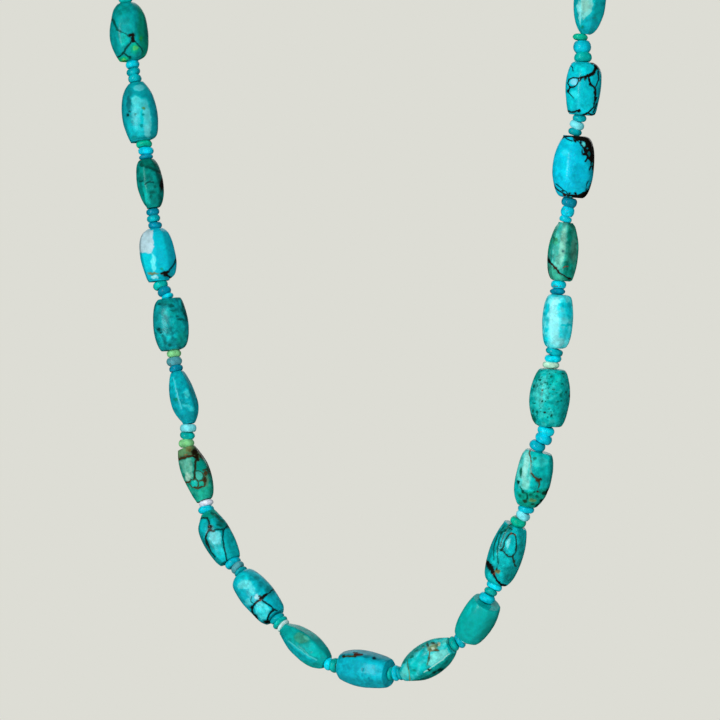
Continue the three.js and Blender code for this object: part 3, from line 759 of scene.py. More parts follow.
looks["barrel_21"] = {
    "tones": ((62, 190, 184), (28, 172, 170)), "mottle": 1.8, "ridge": -4, "flat": 0.05,
    "backVeins": 0.8, "grain": 1.4,
    "sides": (
        ((518.5, 505.5), (516.2, 501), (514.5, 495.5), (513.8, 489.5), (514.2, 483), (515.3, 476.5),
         (516.9, 470), (518.8, 463), (520.8, 456.5), (523, 452), (526.5, 448.7)),
        ((533.5, 508.2), (538, 506.3), (541.5, 502.7), (545, 498), (548, 492.3), (550.3, 486),
         (552, 478.5), (553.1, 470.5), (553.4, 463), (552.8, 458), (551.3, 454.5), (547.5, 452.7)),
    ),
    "areas": [
        ((106, 204, 196), 0.7, 1.8, (521, 450), (530, 449), (531, 470), (529, 489), (519, 489),
         (516, 476)),
        ((0, 164, 160), 0.7, 2.4, (533, 470), (552, 462), (551, 486), (543, 493), (531, 490)),
        ((44, 150, 122), 0.75, 2.6, (516, 492), (532, 491), (550, 488), (540, 510), (520, 508)),
    ],
    "patches": [
        # the pale stripe at 525.5, 466 and 525, 484 is a painted highlight
        (525.5, 466, 3, 13, (156, 224, 214), 0.85, 8), (525, 484, 3, 6, (140, 210, 196), 0.6, 4),
        (541, 462, 8, 6, (86, 200, 194), 0.6), (546.5, 474, 1.6, 8, (70, 196, 194), 0.6, 6),
        (532.5, 500.5, 3.4, 2, (104, 136, 76)),
    ],
    "veins": [
        (1.3, (92, 84, 58), (531, 449), (528.8, 453), (530.6, 457.5), (531, 462)),
        (0.8, (110, 150, 128), (531, 462), (530.4, 468), (531.2, 473)),
        (1.6, (70, 60, 34), (531.2, 473), (533.3, 476.3), (537.5, 479)),
        (1.3, (50, 84, 62), (539, 481), (539, 484.5), (538.6, 487.5)),
        (1.1, (0, 92, 74), (520, 487), (523, 492), (527, 493.5)),
    ],
    "blots": [
        (538.2, 480, 2.3, 2.4, (68, 46, 24), 30), (540.3, 478.7, 1.5, 1.3, (40, 50, 30)),
        (535, 458.5, 1.4, 1.2, (0, 124, 104)), (521, 472.5, 1.2, 4.4, (0, 100, 80), 4),
        (518.2, 482.7, 1.3, 2, (0, 50, 40)), (522.8, 492, 1.4, 1.4, (0, 70, 56)),
        (527.3, 497, 1.2, 2.8, (0, 78, 60)), (524.8, 501, 2.3, 1.5, (26, 62, 40)),
        (537.7, 491.8, 1.3, 0.9, (60, 44, 30)), (544, 493, 2.8, 1.8, (10, 62, 46)),
        (547.6, 491.3, 1.6, 2.2, black, 20), (541.7, 500.7, 2, 1.5, (0, 46, 34)),
        (538.5, 505, 3.2, 1.5, (0, 40, 28), -16), (533, 504.3, 1.8, 1, (10, 82, 60)),
        (537, 496.7, 1.6, 1.2, (0, 100, 82)), (530.5, 495, 1.4, 1.1, (0, 100, 84)),
        (519.5, 496, 1.3, 1.6, (0, 104, 86)), (534.5, 492, 1.2, 0.9, (0, 96, 80)),
    ],
}
looks["barrel_22"] = {
    "tones": ((70, 184, 178), (34, 168, 164)), "mottle": 1.5, "ridge": 30, "flat": 0.035,
    "specks": 60, "grain": 1.4, "net": 0.85,
    "sides": (
        ((539, 426), (535.3, 424), (532.5, 420), (530.7, 414.5), (529.5, 408), (529.2, 401),
         (529.6, 394), (530.6, 388), (532.1, 382.5), (534, 377.5), (536.3, 372.7), (539, 369),
         (542, 367.8)),
        ((557, 427.6), (561.5, 426.5), (564.2, 422.5), (566.2, 417), (568, 410.5), (569.4, 404),
         (570.2, 397), (570.2, 390), (569.5, 384), (568.4, 378), (567, 373.3), (564.8, 370.2),
         (561, 369.2)),
    ),
    "patches": [
        (541, 392, 7, 16, (92, 206, 200), 0.7, 4), (545, 412, 8, 7, (74, 196, 190), 0.6),
        (556, 380, 9, 8, (60, 190, 180), 0.5), (562, 408, 6, 14, (0, 160, 156), 0.65, 4),
        (533.4, 420, 2.2, 7, (20, 96, 76), 0.8, -18), (536, 374, 3, 6, (10, 122, 102), 0.6, 24),
    ],
    "blots": [
        (542.6, 389.7, 1, 0.9, (52, 84, 54)), (553.6, 389.6, 1.2, 0.9, (20, 120, 104)),
        (542.4, 401, 1, 1.1, (0, 92, 80)), (561, 395.3, 1.3, 1.9, (0, 112, 100)),
        (569.8, 396, 0.9, 1.3, (40, 30, 18)), (534, 386, 1.2, 1.6, (0, 92, 74)),
        (544.5, 412.4, 1.1, 1, (30, 30, 12)), (551.6, 415.5, 1.1, 1.3, (0, 80, 66)),
        (557.6, 401.8, 1.6, 0.7, (0, 104, 92), -8), (561.4, 401, 0.9, 0.9, (0, 96, 84)),
        (533, 411, 1, 1.4, (0, 96, 78)), (537, 412.3, 1.1, 1.4, (0, 96, 82)),
        (551.5, 376.5, 1.2, 0.9, (0, 108, 92)), (545.5, 382.7, 1.6, 0.8, (0, 104, 88)),
        (540, 380, 1.2, 1.2, (0, 100, 84)), (562.3, 373.5, 1.3, 0.9, (0, 104, 90)),
        (562, 383.5, 1.2, 0.8, (0, 116, 104)), (557, 392.5, 1, 0.7, (0, 124, 112)),
        (548, 417, 1, 0.9, (0, 110, 96)), (534, 403, 1.5, 0.7, (0, 112, 96)),
        (566, 392, 1, 1.2, (0, 110, 100)), (549, 409, 1, 0.7, (0, 112, 100)),
    ],
}
looks["barrel_23"] = {
    "tones": ((112, 224, 230), (82, 214, 224)), "mottle": 2.4, "flat": 0.05, "backVeins": 0.15,
    "polish": 0.5,
    "sides": (
        ((548, 347.5), (545, 345.3), (543.4, 341), (542.5, 335), (542.2, 327), (542.3, 319),
         (542.9, 312.5), (544, 306), (545.3, 301), (546.8, 297.5), (548.5, 295), (551, 293.9)),
        ((562, 348.7), (566, 347.7), (568.7, 343.5), (570.5, 338), (571.9, 331), (572.9, 322.5),
         (573.2, 314), (572.8, 306), (572.1, 300.7), (571.2, 297.3), (569, 295.6), (566, 295)),
    ),
    "patches": [
        # the pale stripe at 553.5, 322 is a painted highlight
        (553.5, 322, 5.5, 22, (158, 238, 240), 0.75, -3), (556, 301, 4, 4, (168, 240, 242), 0.6),
        (565, 305, 5.5, 2.4, (0, 204, 218), 0.95), (569, 310, 3, 7.5, (10, 198, 214), 0.95, -4),
        (563.3, 325.2, 2.6, 1.2, (20, 200, 214), 0.9), (568, 325, 2.8, 1.6, (36, 200, 214)),
        (547.5, 308, 2.2, 4, (52, 202, 214), 0.85, 8),
        (545.3, 313.5, 2.6, 1.3, (40, 196, 210), 0.85), (548, 321, 1.6, 4.4, (56, 186, 196)),
        (545.8, 330.3, 1.8, 2.3, (44, 190, 202), 0.85), (545, 340, 3, 5, (52, 202, 214), 0.7),
        (566, 334, 3.4, 7, (70, 210, 222), 0.6), (558, 343, 7, 4, (150, 236, 238), 0.7),
        (560, 315, 3.6, 3, (90, 216, 226), 0.6),
    ],
}
looks["barrel_24"] = {
    "tones": ((84, 178, 164), (62, 168, 156)), "mottle": 1.7, "flat": 0.12, "edge": 80,
    "grain": 1.8, "polish": 0.42,
    "sides": (
        ((554, 280.7), (550.6, 278.7), (548.7, 274.5), (547.6, 268.5), (547.3, 261.5), (547.5, 255),
         (548.2, 249), (549.7, 242.3), (551.5, 236.3), (553.6, 230.7), (555.8, 226.3),
         (558.5, 223.3)),
        ((568, 282), (571.8, 280.7), (573.6, 276.5), (575.3, 271), (576.7, 265), (577.8, 257.5),
         (578.5, 250), (578.4, 243), (577.5, 236.5), (576.3, 231), (575.2, 226.7), (573, 223.7)),
    ),
    "areas": [
        # the darker right facet is painted shade
        ((50, 132, 114), 0.95, 0.9, (567.3, 220), (567.6, 236), (565.8, 254), (562.6, 283),
         (582, 283), (582, 220)),
        ((16, 146, 116), 0.75, 2, (554, 222), (557, 226), (552.5, 243), (549, 256), (545, 262),
         (545, 240)),
        ((0, 142, 122), 0.7, 2.2, (564.5, 262), (572, 264), (570, 282), (562, 282)),
        ((74, 168, 138), 0.7, 1.4, (548, 263), (553, 266), (560, 275), (568, 281), (552, 282),
         (546, 274)),
    ],
    "patches": [
        # the pale strip at 562.5, 246 is a painted highlight by the ridge
        (562.5, 246, 3.2, 20, (140, 202, 180), 0.7, 6), (558, 262, 3, 8, (118, 194, 176), 0.6, 6),
        (574, 250, 3, 12, (74, 120, 104), 0.6), (555.5, 241, 2.6, 4, (60, 152, 112), 0.7),
        (570, 237, 2.2, 9, (0, 118, 100), 0.7, 4),
    ],
    "veins": [
        (2.2, black, (547.2, 248), (547, 255), (548, 260), (549.8, 262.6)),
        (1.6, (44, 26, 12), (549.8, 262.6), (553, 265), (555.5, 268.5), (558, 271.3), (560.3, 274)),
        (1.1, (30, 24, 14), (560.3, 274), (563.7, 275.7), (567, 277.3), (571, 279.3)),
        (0.9, (104, 70, 54), (562.8, 268), (565, 266.6), (567.8, 265.9)),
        (1.3, (0, 52, 44), (547.2, 268), (548.3, 274), (551, 279.5)),
        (0.8, (0, 110, 90), (552, 235), (556, 240)),
    ],
    "blots": [
        (563.2, 251.3, 1.2, 1, (44, 108, 108)), (555.2, 268, 1.5, 1.3, (60, 28, 14)),
        (569, 278.5, 2, 1.2, (30, 22, 12), 20), (556.5, 239.5, 1.4, 1.3, (50, 140, 96)),
        (558, 271.5, 1, 1.5, black),
    ],
}
looks["barrel_25"] = {
    "tones": ((0, 192, 220), (0, 182, 208)), "mottle": 5, "ridge": -15, "flat": 0.05, "edge": 44,
    "grain": 0.8,
    "sides": (
        ((563, 197), (559, 196), (556.2, 192.5), (554.2, 187), (552.8, 180), (552.1, 172.5),
         (552.6, 164.5), (553.7, 157.5), (555.4, 151.3), (557.6, 145.7), (560, 141), (563, 136.8)),
        ((581, 199), (585, 197.3), (588, 193.7), (590.6, 187.5), (592.6, 180), (594, 171.5),
         (594.7, 162.5), (594.6, 154), (593.8, 147), (592.2, 141.5), (589.5, 137.7), (585, 136)),
    ),
    "areas": [
        # this pale field is a painted highlight on the flat left of the ridge
        ((70, 216, 234), 0.35, 1, (561.5, 148), (568, 148.5), (568.6, 160), (567.5, 176),
         (565.5, 180), (561, 172)),
    ],
    "patches": [
        # the pale patches at 564.5, 170 and 565, 152.5 are a painted highlight
        (564.5, 170, 3, 9, (96, 220, 236), 0.4, 4), (565, 152.5, 3.6, 4, (96, 218, 234), 0.7),
        (569, 142, 4.5, 2.2, (90, 216, 228), 0.7), (578, 178, 8, 12, (0, 172, 198), 0.6),
        (558, 160, 3, 14, (0, 202, 228), 0.4, 8),
    ],
    "matrix": [
        (black, 1, 1, (570, 135), (574.5, 138.5), (579, 142.5), (582.5, 148), (585, 153.5),
         (587.5, 158.5), (590.5, 161.5), (591, 166), (592.8, 170), (593.5, 176), (594, 183),
         (598, 180), (598, 140), (588, 134)),
        (black, 1, 1, (566, 194.3), (574, 195), (580, 194), (585.5, 191), (589, 186.5), (592, 181),
         (594, 184), (590, 193), (584, 200), (568, 200)),
    ],
    "veins": [
        (1.7, black, (560, 139.5), (565, 136.5), (572, 136)),
        (1.3, black, (552.5, 183.5), (556, 188.5), (560.5, 192.3), (566, 194.7)),
        (0.9, (0, 50, 56), (556, 183.5), (561, 188), (566, 191.5), (568, 194.5)),
        (1, (0, 60, 64), (563, 136), (567, 139), (572, 141)),
        (1.1, black, (581.5, 149.5), (582.8, 153.8)), (1.5, black, (587.5, 158), (585.3, 161)),
        (1.3, black, (590.5, 166.5), (589.8, 169.5)),
        (0.9, (0, 90, 100), (586, 190.5), (586.5, 184.5), (589, 181)),
    ],
    "blots": [
        (575, 140.5, 2, 1.2, black, 40), (584, 154, 1.8, 1.2, black),
        (564.5, 194.8, 1.8, 1.3, (50, 24, 12)), (569.5, 193.6, 1.4, 1.4, (24, 40, 30)),
        (575.5, 193.5, 1.3, 1.2, black), (562.5, 191, 1.4, 1, (0, 60, 66)),
    ],
    "islands": [
        (583.6, 144, 1.8, 3, (112, 224, 224), 1, -25),
        (589.2, 154, 1.2, 2.4, (10, 110, 106), 1, -10), (592.3, 164, 0.9, 2, (30, 140, 140), 1),
        (579.2, 141.2, 1, 0.8, (0, 160, 170), 1), (588.3, 188.3, 1, 1.8, (0, 160, 176), 1, 30),
        (587.3, 148.3, 0.8, 0.8, (0, 120, 126), 1), (570.5, 197, 1.6, 0.7, (60, 180, 180), 1),
    ],
}
looks["barrel_26"] = {
    "tones": ((0, 190, 204), (0, 178, 192)), "mottle": 3.4, "ridge": 46, "flat": 0.05,
    "sides": (
        ((573, 115), (569.5, 114), (567.6, 111.5), (566.5, 105), (565.8, 98), (565.2, 91),
         (565.4, 84), (566.3, 77.5), (567.8, 71.3), (569.5, 66.5), (571.7, 62.7), (575, 61)),
        ((591, 116), (595, 115), (596.6, 111), (598, 104.5), (599.5, 98), (600.8, 91), (601.5, 84),
         (601.6, 77), (601.2, 71.7), (599.8, 68), (597.5, 65), (594, 62.8)),
    ),
    "patches": [
        # the pale patches at 574, 82, at 574, 94 and at 571, 103 are a painted highlight
        (580, 69.5, 7, 5, (52, 208, 214), 0.8, -8), (574, 82, 3.4, 3, (128, 208, 226), 0.95),
        (574, 94, 4.5, 4.5, (92, 218, 224), 0.7, 20), (571, 103, 2.2, 5, (80, 216, 222), 0.7),
        (600, 88, 1.4, 16, (70, 196, 206), 0.7), (595, 80, 2.5, 4, (0, 166, 180), 0.6),
        (585, 98, 6, 9, (0, 178, 192), 0.5),
    ],
    "matrix": [
        (black, 1, 1, (589, 60), (594, 61.5), (602, 67), (600, 70.5), (596.5, 69.5), (594.5, 72.5),
         (592.5, 71), (594.5, 67), (591.5, 64)),
    ],
    "veins": [
        (2.9, black, (595.5, 69), (593.5, 72.5), (589.5, 75.2)),
        (2, black, (589.5, 75.2), (584.5, 76.5), (580, 78)),
        (1.3, black, (580, 78), (573.5, 77.8), (569, 79.5)),
        (1.3, black, (569, 79.5), (567.8, 83), (569.5, 87), (573, 87), (577, 84.5), (578.7, 80.5),
         (577.5, 78)),
        (1.4, black, (571.5, 87.3), (568.2, 89.5), (568, 92)),
        (0.8, (0, 40, 44), (568.5, 92.5), (571, 95.7), (574.3, 98.3)),
        (1.8, black, (588.8, 76.5), (589.5, 81), (590.5, 84.7)),
        (1.7, black, (590.5, 84.7), (593.5, 86), (595.3, 89.5), (595.5, 95), (594.8, 100.5)),
        (1.1, black, (598, 71.5), (598.6, 78), (597.2, 84), (595.5, 88)),
        (1.3, black, (596.8, 97.5), (594.3, 103), (593.8, 107.5), (590.5, 110.5), (587.5, 113.5)),
        (1.1, black, (596.5, 103.5), (595, 108.5), (593, 112.5)),
        (1.7, black, (566.5, 110.5), (571, 112), (576, 111.5), (579.8, 109.7)),
        (1.7, black, (582.5, 115.5), (588, 113), (592.5, 115), (596, 114)),
        (0.9, (0, 50, 56), (569.5, 64.5), (572.5, 67.5), (573, 71)),
        (1, black, (584.5, 77), (585, 80.5)), (1, black, (581, 78.5), (580, 81.5)),
    ],
    "blots": [
        (592, 74, 2.2, 1.6, black, -20), (579, 111, 1.6, 1.3, black), (568, 90.7, 1.4, 1.5, black),
        (590.3, 84, 1.6, 1.6, black), (585.6, 77.5, 1.6, 1.5, black),
        (595.2, 92.5, 1.3, 2.4, black),
    ],
    "islands": [(593.5, 64.6, 1, 0.9, (0, 170, 180), 1), (598.3, 68.2, 0.9, 0.7, (0, 140, 150), 1)],
}
looks["barrel_27"] = {
    "tones": ((24, 172, 178), (0, 162, 170)), "facets": 7, "ridge": -35, "edge": 60,
    "sides": (
        ((581.5, 34.5), (579, 31), (577, 27), (575.2, 22), (574, 16), (573.4, 9), (573.5, 1),
         (574.5, -7), (577, -14), (580.5, -20), (585, -24.5)),
        ((589, 35), (593, 33.5), (596.5, 30), (599.3, 25.5), (601.7, 20), (603.7, 14.5), (605.1, 8),
         (606, 0), (606.3, -7), (605.3, -14), (603, -20), (599, -24)),
    ),
    "areas": [
        ((126, 198, 190), 0.85, 1.6, (580, -8), (592, -8), (593.5, 6), (590, 14), (583, 20),
         (580.5, 14)),
        ((0, 164, 176), 0.75, 2.2, (583, 22), (592, 16), (600, 22), (590, 36), (581, 34)),
    ],
    "patches": [
        (585.5, 5, 4, 7, (132, 186, 172), 0.7), (597, 12, 3.6, 9, (60, 164, 164), 0.6, 10),
        (603, 8, 2.4, 14, (0, 140, 146), 0.7, 6), (601, 22, 1.2, 8, (70, 190, 200), 0.6, 24),
        # the pale line at 579.3, 12 is a painted highlight
        (579.3, 12, 1.8, 12, (140, 226, 226), 0.85, -5),
    ],
    "blots": [(582.3, 26.8, 1.5, 1.2, (0, 128, 108)), (595, 18, 1.4, 1, (20, 140, 140))],
}

# Stones of the hidden stretch take these in turn
hiddenLooks = [
    {"tones": ((0, 150, 142), (0, 132, 124)), "ridge": 10, "flat": 0.06, "backVeins": 0.9},
    {"tones": ((20, 172, 184), (0, 158, 172)), "ridge": -20, "flat": 0.08, "edge": 40,
     "backVeins": 0.4},
    {"tones": ((70, 184, 170), (44, 166, 154)), "ridge": 25, "flat": 0.05, "mottle": 2.2,
     "backVeins": 1},
    {"tones": ((0, 138, 132), (0, 122, 116)), "ridge": 0, "full": 2.8, "backVeins": 0.6},
]


# A soft oval of another tone at x, y: its half sizes, how much it covers and its turn in degrees
# Some of these patches are painted highlights and painted shade.
def patch(x, y, wide, high, tone, amount=0.8, turn=0):
    return {"at": (x, y), "size": (wide, high), "tone": tone, "amount": amount, "turn": turn}


# A grain of matrix: an oval with its half sizes and its turn
def blot(x, y, wide, high, tone, turn=0):
    return {"at": (x, y), "size": (wide, high), "tone": tone, "turn": turn}


# A line of matrix of a width, through the places of its path
# A pale one paints a highlight along a ridge.
def vein(width, tone, *path):
    return {"width": width, "tone": tone, "path": path}


# A field of another tone inside an outline, whose edge fades over a width of soft
# Some fields are painted highlights and painted shade.
def area(tone, amount, soft, *path):
    return {"tone": tone, "amount": amount, "soft": soft, "path": path}


markKinds = {
    "areas": area, "patches": patch, "islands": patch, "matrix": area, "veins": vein, "blots": blot,
}


# A look with what it leaves out taken from the plain one, and its rows read as marks
def fullLook(own):
    marks = {label: [kind(*row) for row in own.get(label, ())] for label, kind in markKinds.items()}
    return {**plainLook, **own, **marks}


chartedGrid = {"around": 136, "side": 92, "face": 6, "bore": 3}
plainGrid = {"around": 80, "side": 48, "face": 4, "bore": 3}
barrelForm = {
    "firstSeed": 100, "seedStep": 7,  # a barrel's clouds take seeds that follow its own
    "digits": 6,  # points of the solid that agree to so many digits of a metre are one
    "boreRadius": 0.6 * mm,
    "faceDepth": 0.4 * mm,  # the solid's points this near its end are its end face
    "evening": 8,
    "flatTurn": 0.06,  # how far each flat's direction may be off, in radians
    "flatDepth": (0.75, 1.25),
    "flatFade": 0.5,  # the flats fade out towards the bore, from this share of the end's radius
    "waveSize": 5, "waviness": 0.006, "calmEnds": 4,
    "sinkEdge": (0.45, 0.8), "sink": 0.05 * mm,
    "grainSize": 6, "grainShift": 0.25, "polishSize": 3, "polishShift": 0.08,
}


# Where a barrel sits, measured on its solid: the middle, the long axis that runs on along the
# string, half the length, the greatest radius and the radii of the two ends. The axis joins the
# middles of the two end faces, which are the furthest points along a first guess.
def barrelSeat(node, onward):
    solid = frame["nodes"][node]
    points = np.zeros(len(solid.data.vertices) * 3)
    solid.data.vertices.foreach_get("co", points)
    points = np.unique(np.round(points.reshape(-1, 3), barrelForm["digits"]), axis=0)
    middle = points.mean(0)
    axis = np.linalg.svd(points - middle, full_matrices=False)[2][0]
    axis = axis * (1 if axis @ onward(middle) > 0 else -1)
    for _ in range(2):
        along = (points - middle) @ axis
        atFirst = along < along.min() + barrelForm["faceDepth"]
        atLast = along > along.max() - barrelForm["faceDepth"]
        first, last = points[atFirst].mean(0), points[atLast].mean(0)
        middle, axis = (first + last) / 2, unit(last - first)
    away = np.linalg.norm(points - middle - ((points - middle) @ axis)[:, None] * axis, axis=1)
    return {
        "middle": middle, "axis": axis, "half": np.linalg.norm(last - first) / 2,
        "radius": away.max(), "endRadii": (away[atFirst].max(), away[atLast].max()),
    }


# The way the string runs at a place: on the front a quarter turn from the line to the U's middle,
# and behind it a turn about the neck
def stringRun(place):
    x, y, z = place
    if y < frontFrom:
        return np.array([bendHeight - z, 0, x])
    return np.array([y - neckMiddle[1], -x, 0])


# Half width of a barrel and shift of its middle off the axis, at each place along it, -1 to 1. A
# barrel without charted sides swells from its ends by a power curve. One with them has its side
# lines brought to its own axes in the picture, from end to end and across, and evened out with a
# 1-2-1 average. Its cross-section reaches reaches[0] to the one side and reaches[1] to the other.
def barrelWidths(seat, look, sweep, beside, reaches):
    if "sides" not in look:
        endRadius = np.where(sweep < 0, *seat["endRadii"])
        swell = (1 - np.abs(sweep) ** look["full"]) ** (1 / look["crisp"])
        return endRadius + (seat["radius"] - endRadius) * swell, np.zeros(len(sweep))
    ends = inPicture(seat["middle"] + np.outer((-seat["half"], seat["half"]), seat["axis"]))
    middle, run = ends.mean(0), (ends[1] - ends[0]) / 2
    across = unit(np.array([run[1], -run[0]]))
    step = inPicture(seat["middle"] + np.outer((0, mm), beside))
    across = across * np.sign((step[1] - step[0]) @ across)
    lines = []
    for side in look["sides"]:
        offset = np.array(side, float) - middle
        place, aside = offset @ run / (run @ run), offset @ across
        order = np.argsort(place)
        line = np.interp(sweep, place[order], aside[order])
        for _ in range(barrelForm["evening"]):
            line[1:-1] = (line[:-2] + 2 * line[1:-1] + line[2:]) / 4
        lines.append(line)
    low, high = sorted(lines, key=np.mean)
    depth = shot["distance"] - (seat["middle"] - shot["target"]) @ toCamera
    pixel = shot["pixelSize"] * depth / shot["distance"]
    radius = (high - low) / (reaches[0] + reaches[1])
    return radius * pixel, (high - radius * reaches[0]) * pixel


# Rings of a barrel as (place along, radius, shift): its side, the last end face in to the bore,
# back through the bore, and the first end face out again, each in even steps
def barrelOutline(seat, sweep, widths, shifts, grid):
    half, bore = seat["half"], barrelForm["boreRadius"]
    inward = np.linspace(0, 1, grid["face"] + 2)[1:]
    outward = np.append(0, inward[:-1])
    back = np.linspace(1, -1, grid["bore"] + 2)[1:-1]
    along = np.concatenate([sweep, np.ones(len(inward)), back, -np.ones(len(outward))]) * half
    radius = np.concatenate([
        widths, widths[-1] + (bore - widths[-1]) * inward, np.full(len(back), bore),
        bore + (widths[0] - bore) * outward,
    ])
    shift = [shifts, shifts[-1] * (1 - inward), np.zeros(len(back)), shifts[0] * outward]
    return along, radius, np.concatenate(shift)


# Cross-section round the axis, as a share of the radius: flats set in from a circle, blended with
# it by a power mean, so that a high power gives sharp ridges
def facetShare(angles, look, seed):
    source = np.random.default_rng(seed)
    count, power = look["facets"], look["edge"]
    flatAt = math.radians(look["ridge"]) + (np.arange(count) + 0.5) * 2 * np.pi / count
    flatAt = flatAt + source.uniform(-barrelForm["flatTurn"], barrelForm["flatTurn"], count)
    inset = 1 - look["flat"] * source.uniform(*barrelForm["flatDepth"], count)
    reach = np.clip(np.cos(angles[:, None] - flatAt), 0, None) / inset
    return ((reach ** power).sum(1) + 1) ** (-1 / power)


# Share of an oval that covers each spot: 1 at its middle, 0.5 at its rim
def ovalCover(spots, oval):
    turn = math.radians(oval["turn"])
    offset = spots - np.array(oval["at"])
    first = offset @ np.array([math.cos(turn), math.sin(turn)])
    second = offset @ np.array([-math.sin(turn), math.cos(turn)])
    wide, high = oval["size"]
    return np.clip(1 - 0.5 * np.hypot(first / wide, second / high), 0, 1)


# How deep each spot is inside a closed outline, less than 0 outside: the distance to its line, with
# a sign from how many edges a ray to the right of the spot crosses
def insideDepth(spots, path):
    start = np.asarray(path, float)
    end = np.roll(start, -1, 0)
    across, down = spots[:, :1], spots[:, 1:]
    spans = (start[:, 1] > down) != (end[:, 1] > down)
    rise = np.where(end[:, 1] == start[:, 1], 1, end[:, 1] - start[:, 1])
    meets = start[:, 0] + (end[:, 0] - start[:, 0]) * (down - start[:, 1]) / rise
    inside = (spans & (across < meets)).sum(1) % 2 == 1
    return lineDistance(spots, np.concatenate([start, start[:1]])) * np.where(inside, 1, -1)


# Sizes are of clouds, in mm. Edges are smooth steps, (from, to). Waver and ragged move the marks'
# edges by clouds of a size, so many pixels on tints and so many on matrix.
paintForm = {
    "cloudEdge": (-0.9, 0.9),
    "frontEdge": (-0.25, 0.05),  # the chart fades out where the stone turns away from the viewer
    "plainMatrix": (0, 74, 70),
    "backVein": {"size": 9, "raggedSize": 2, "ragged": 0.15, "width": 0.16},
    "waver": {"size": 2.2, "tints": 0.5, "matrix": 0.25},
    "ragged": {"size": 0.9, "tints": 0.35, "matrix": 0.2},
    "patchEdge": (0.36, 0.64),
    "islandEdge": (0.45, 0.55),
    "fineTone": (0, 104, 90),
    "speck": {"radius": 0.15, "most": 0.72},
    "net": {"size": 1.7, "fineSize": 0.8, "fine": 0.5, "width": 0.62, "patchSize": 4},
    "netEdge": (-0.9, 0.4),
    "shadowEdge": (0.05, 0.5),
    "shadow": 0.4,
    "paleTone": 0.5,  # matrix as light as this casts no shadow
}


# For each mark of matrix, how near it is to each point, 1 on its middle and 0.5 at its edge, and
# its tone. Specks lie at drawn points, and a net where two cloudy fields pass through zero.
def matrixMarks(points, spots, look, seed):
    marks = [(np.clip(0.5 + insideDepth(spots, field["path"]) / 2, 0, 1), field["tone"])
             for field in look["matrix"]]
    marks += [(np.clip(1 - lineDistance(spots, line["path"]) / line["width"], 0, 1), line["tone"])
              for line in look["veins"]]
    marks += [(ovalCover(spots, oval), oval["tone"]) for oval in look["blots"]]
    if look["specks"]:
        speck = paintForm["speck"]
        source = np.random.default_rng(seed + 9)
        chosen = points[source.integers(0, len(points), look["specks"])]
        reach = np.linalg.norm(points[:, None, :] - chosen[None], axis=2) / (speck["radius"] * mm)
        marks.append((np.clip(1 - 0.5 * reach.min(1), 0, speck["most"]), paintForm["fineTone"]))
    if look["net"]:
        net = paintForm["net"]
        fine = np.abs(cloud(points, net["size"], seed + 10))
        fine = fine + net["fine"] * np.abs(cloud(points, net["fineSize"], seed + 11))
        patchy = smooth(cloud(points, net["patchSize"], seed + 12), *paintForm["netEdge"])
        near = np.clip(1 - fine / net["width"], 0, 1) * look["net"] * patchy
        marks.append((near, paintForm["fineTone"]))
    return marks


# Colours of a barrel's points, from its look. The side that faces the viewer follows the chart, and
# veins cross the rest where a cloudy field passes through zero. Fields and patches tint the stone,
# and some of them are painted highlights, painted reflections and painted shade. Of the marks of
# matrix the nearest counts, a few pale ones are painted highlights, and a painted shadow darkens
# the stone beside it.
def paintBarrel(points, normals, look, seed, charted):
    clouds = smooth(cloud(points, look["mottle"], seed), *paintForm["cloudEdge"])[:, None]
    stone = linear(look["tones"][0]) * (1 - clouds) + linear(look["tones"][1]) * clouds
    matrixTone = np.tile(linear(paintForm["plainMatrix"]), (len(points), 1))
    front = np.zeros(len(points))
    if charted:
        front = smooth(normals @ toCamera, *paintForm["frontEdge"])

    hidden = paintForm["backVein"]
    crossing = np.abs(cloud(points, hidden["size"], seed + 50))
    crossing = crossing + hidden["ragged"] * np.abs(cloud(points, hidden["raggedSize"], seed + 51))
    matrix = np.clip(1 - crossing / hidden["width"], 0, 1) * (1 - front) * look["backVeins"]
    if not charted:
        return stone, matrix, matrixTone

    waver, ragged = paintForm["waver"], paintForm["ragged"]
    slow = np.stack([cloud(points, waver["size"], seed + step) for step in (1, 2)], 1)
    quick = np.stack([cloud(points, ragged["size"], seed + step) for step in (3, 4)], 1)
    plain = inPicture(points)
    spots = plain + slow * waver["tints"] + quick * ragged["tints"]
    tints = []
    for field in look["areas"]:
        fade = field["soft"] / 2
        tints.append((smooth(insideDepth(spots, field["path"]), -fade, fade), field))
    tints += [(smooth(ovalCover(spots, oval), *paintForm["patchEdge"]), oval)
              for oval in look["patches"]]
    tints += [(smooth(ovalCover(plain, oval), *paintForm["islandEdge"]), oval)
              for oval in look["islands"]]
    for share, tint in tints:
        share = (share * front * tint["amount"])[:, None]
        stone = stone * (1 - share) + linear(tint["tone"]) * share

    spots = plain + slow * waver["matrix"] + quick * ragged["matrix"]
    for nearness, tone in matrixMarks(points, spots, look, seed):
        nearness = nearness * front
        above = nearness > matrix
        matrix = np.where(above, nearness, matrix)
        matrixTone[above] = linear(tone)
    for oval in look["islands"]:
        matrix = np.minimum(matrix, 1 - ovalCover(plain, oval))
    darkness = np.clip(1 - matrixTone.max(1) / paintForm["paleTone"], 0, 1)
    shadow = smooth(matrix, *paintForm["shadowEdge"]) * darkness * paintForm["shadow"]
    return stone * (1 - shadow)[:, None], matrix, matrixTone


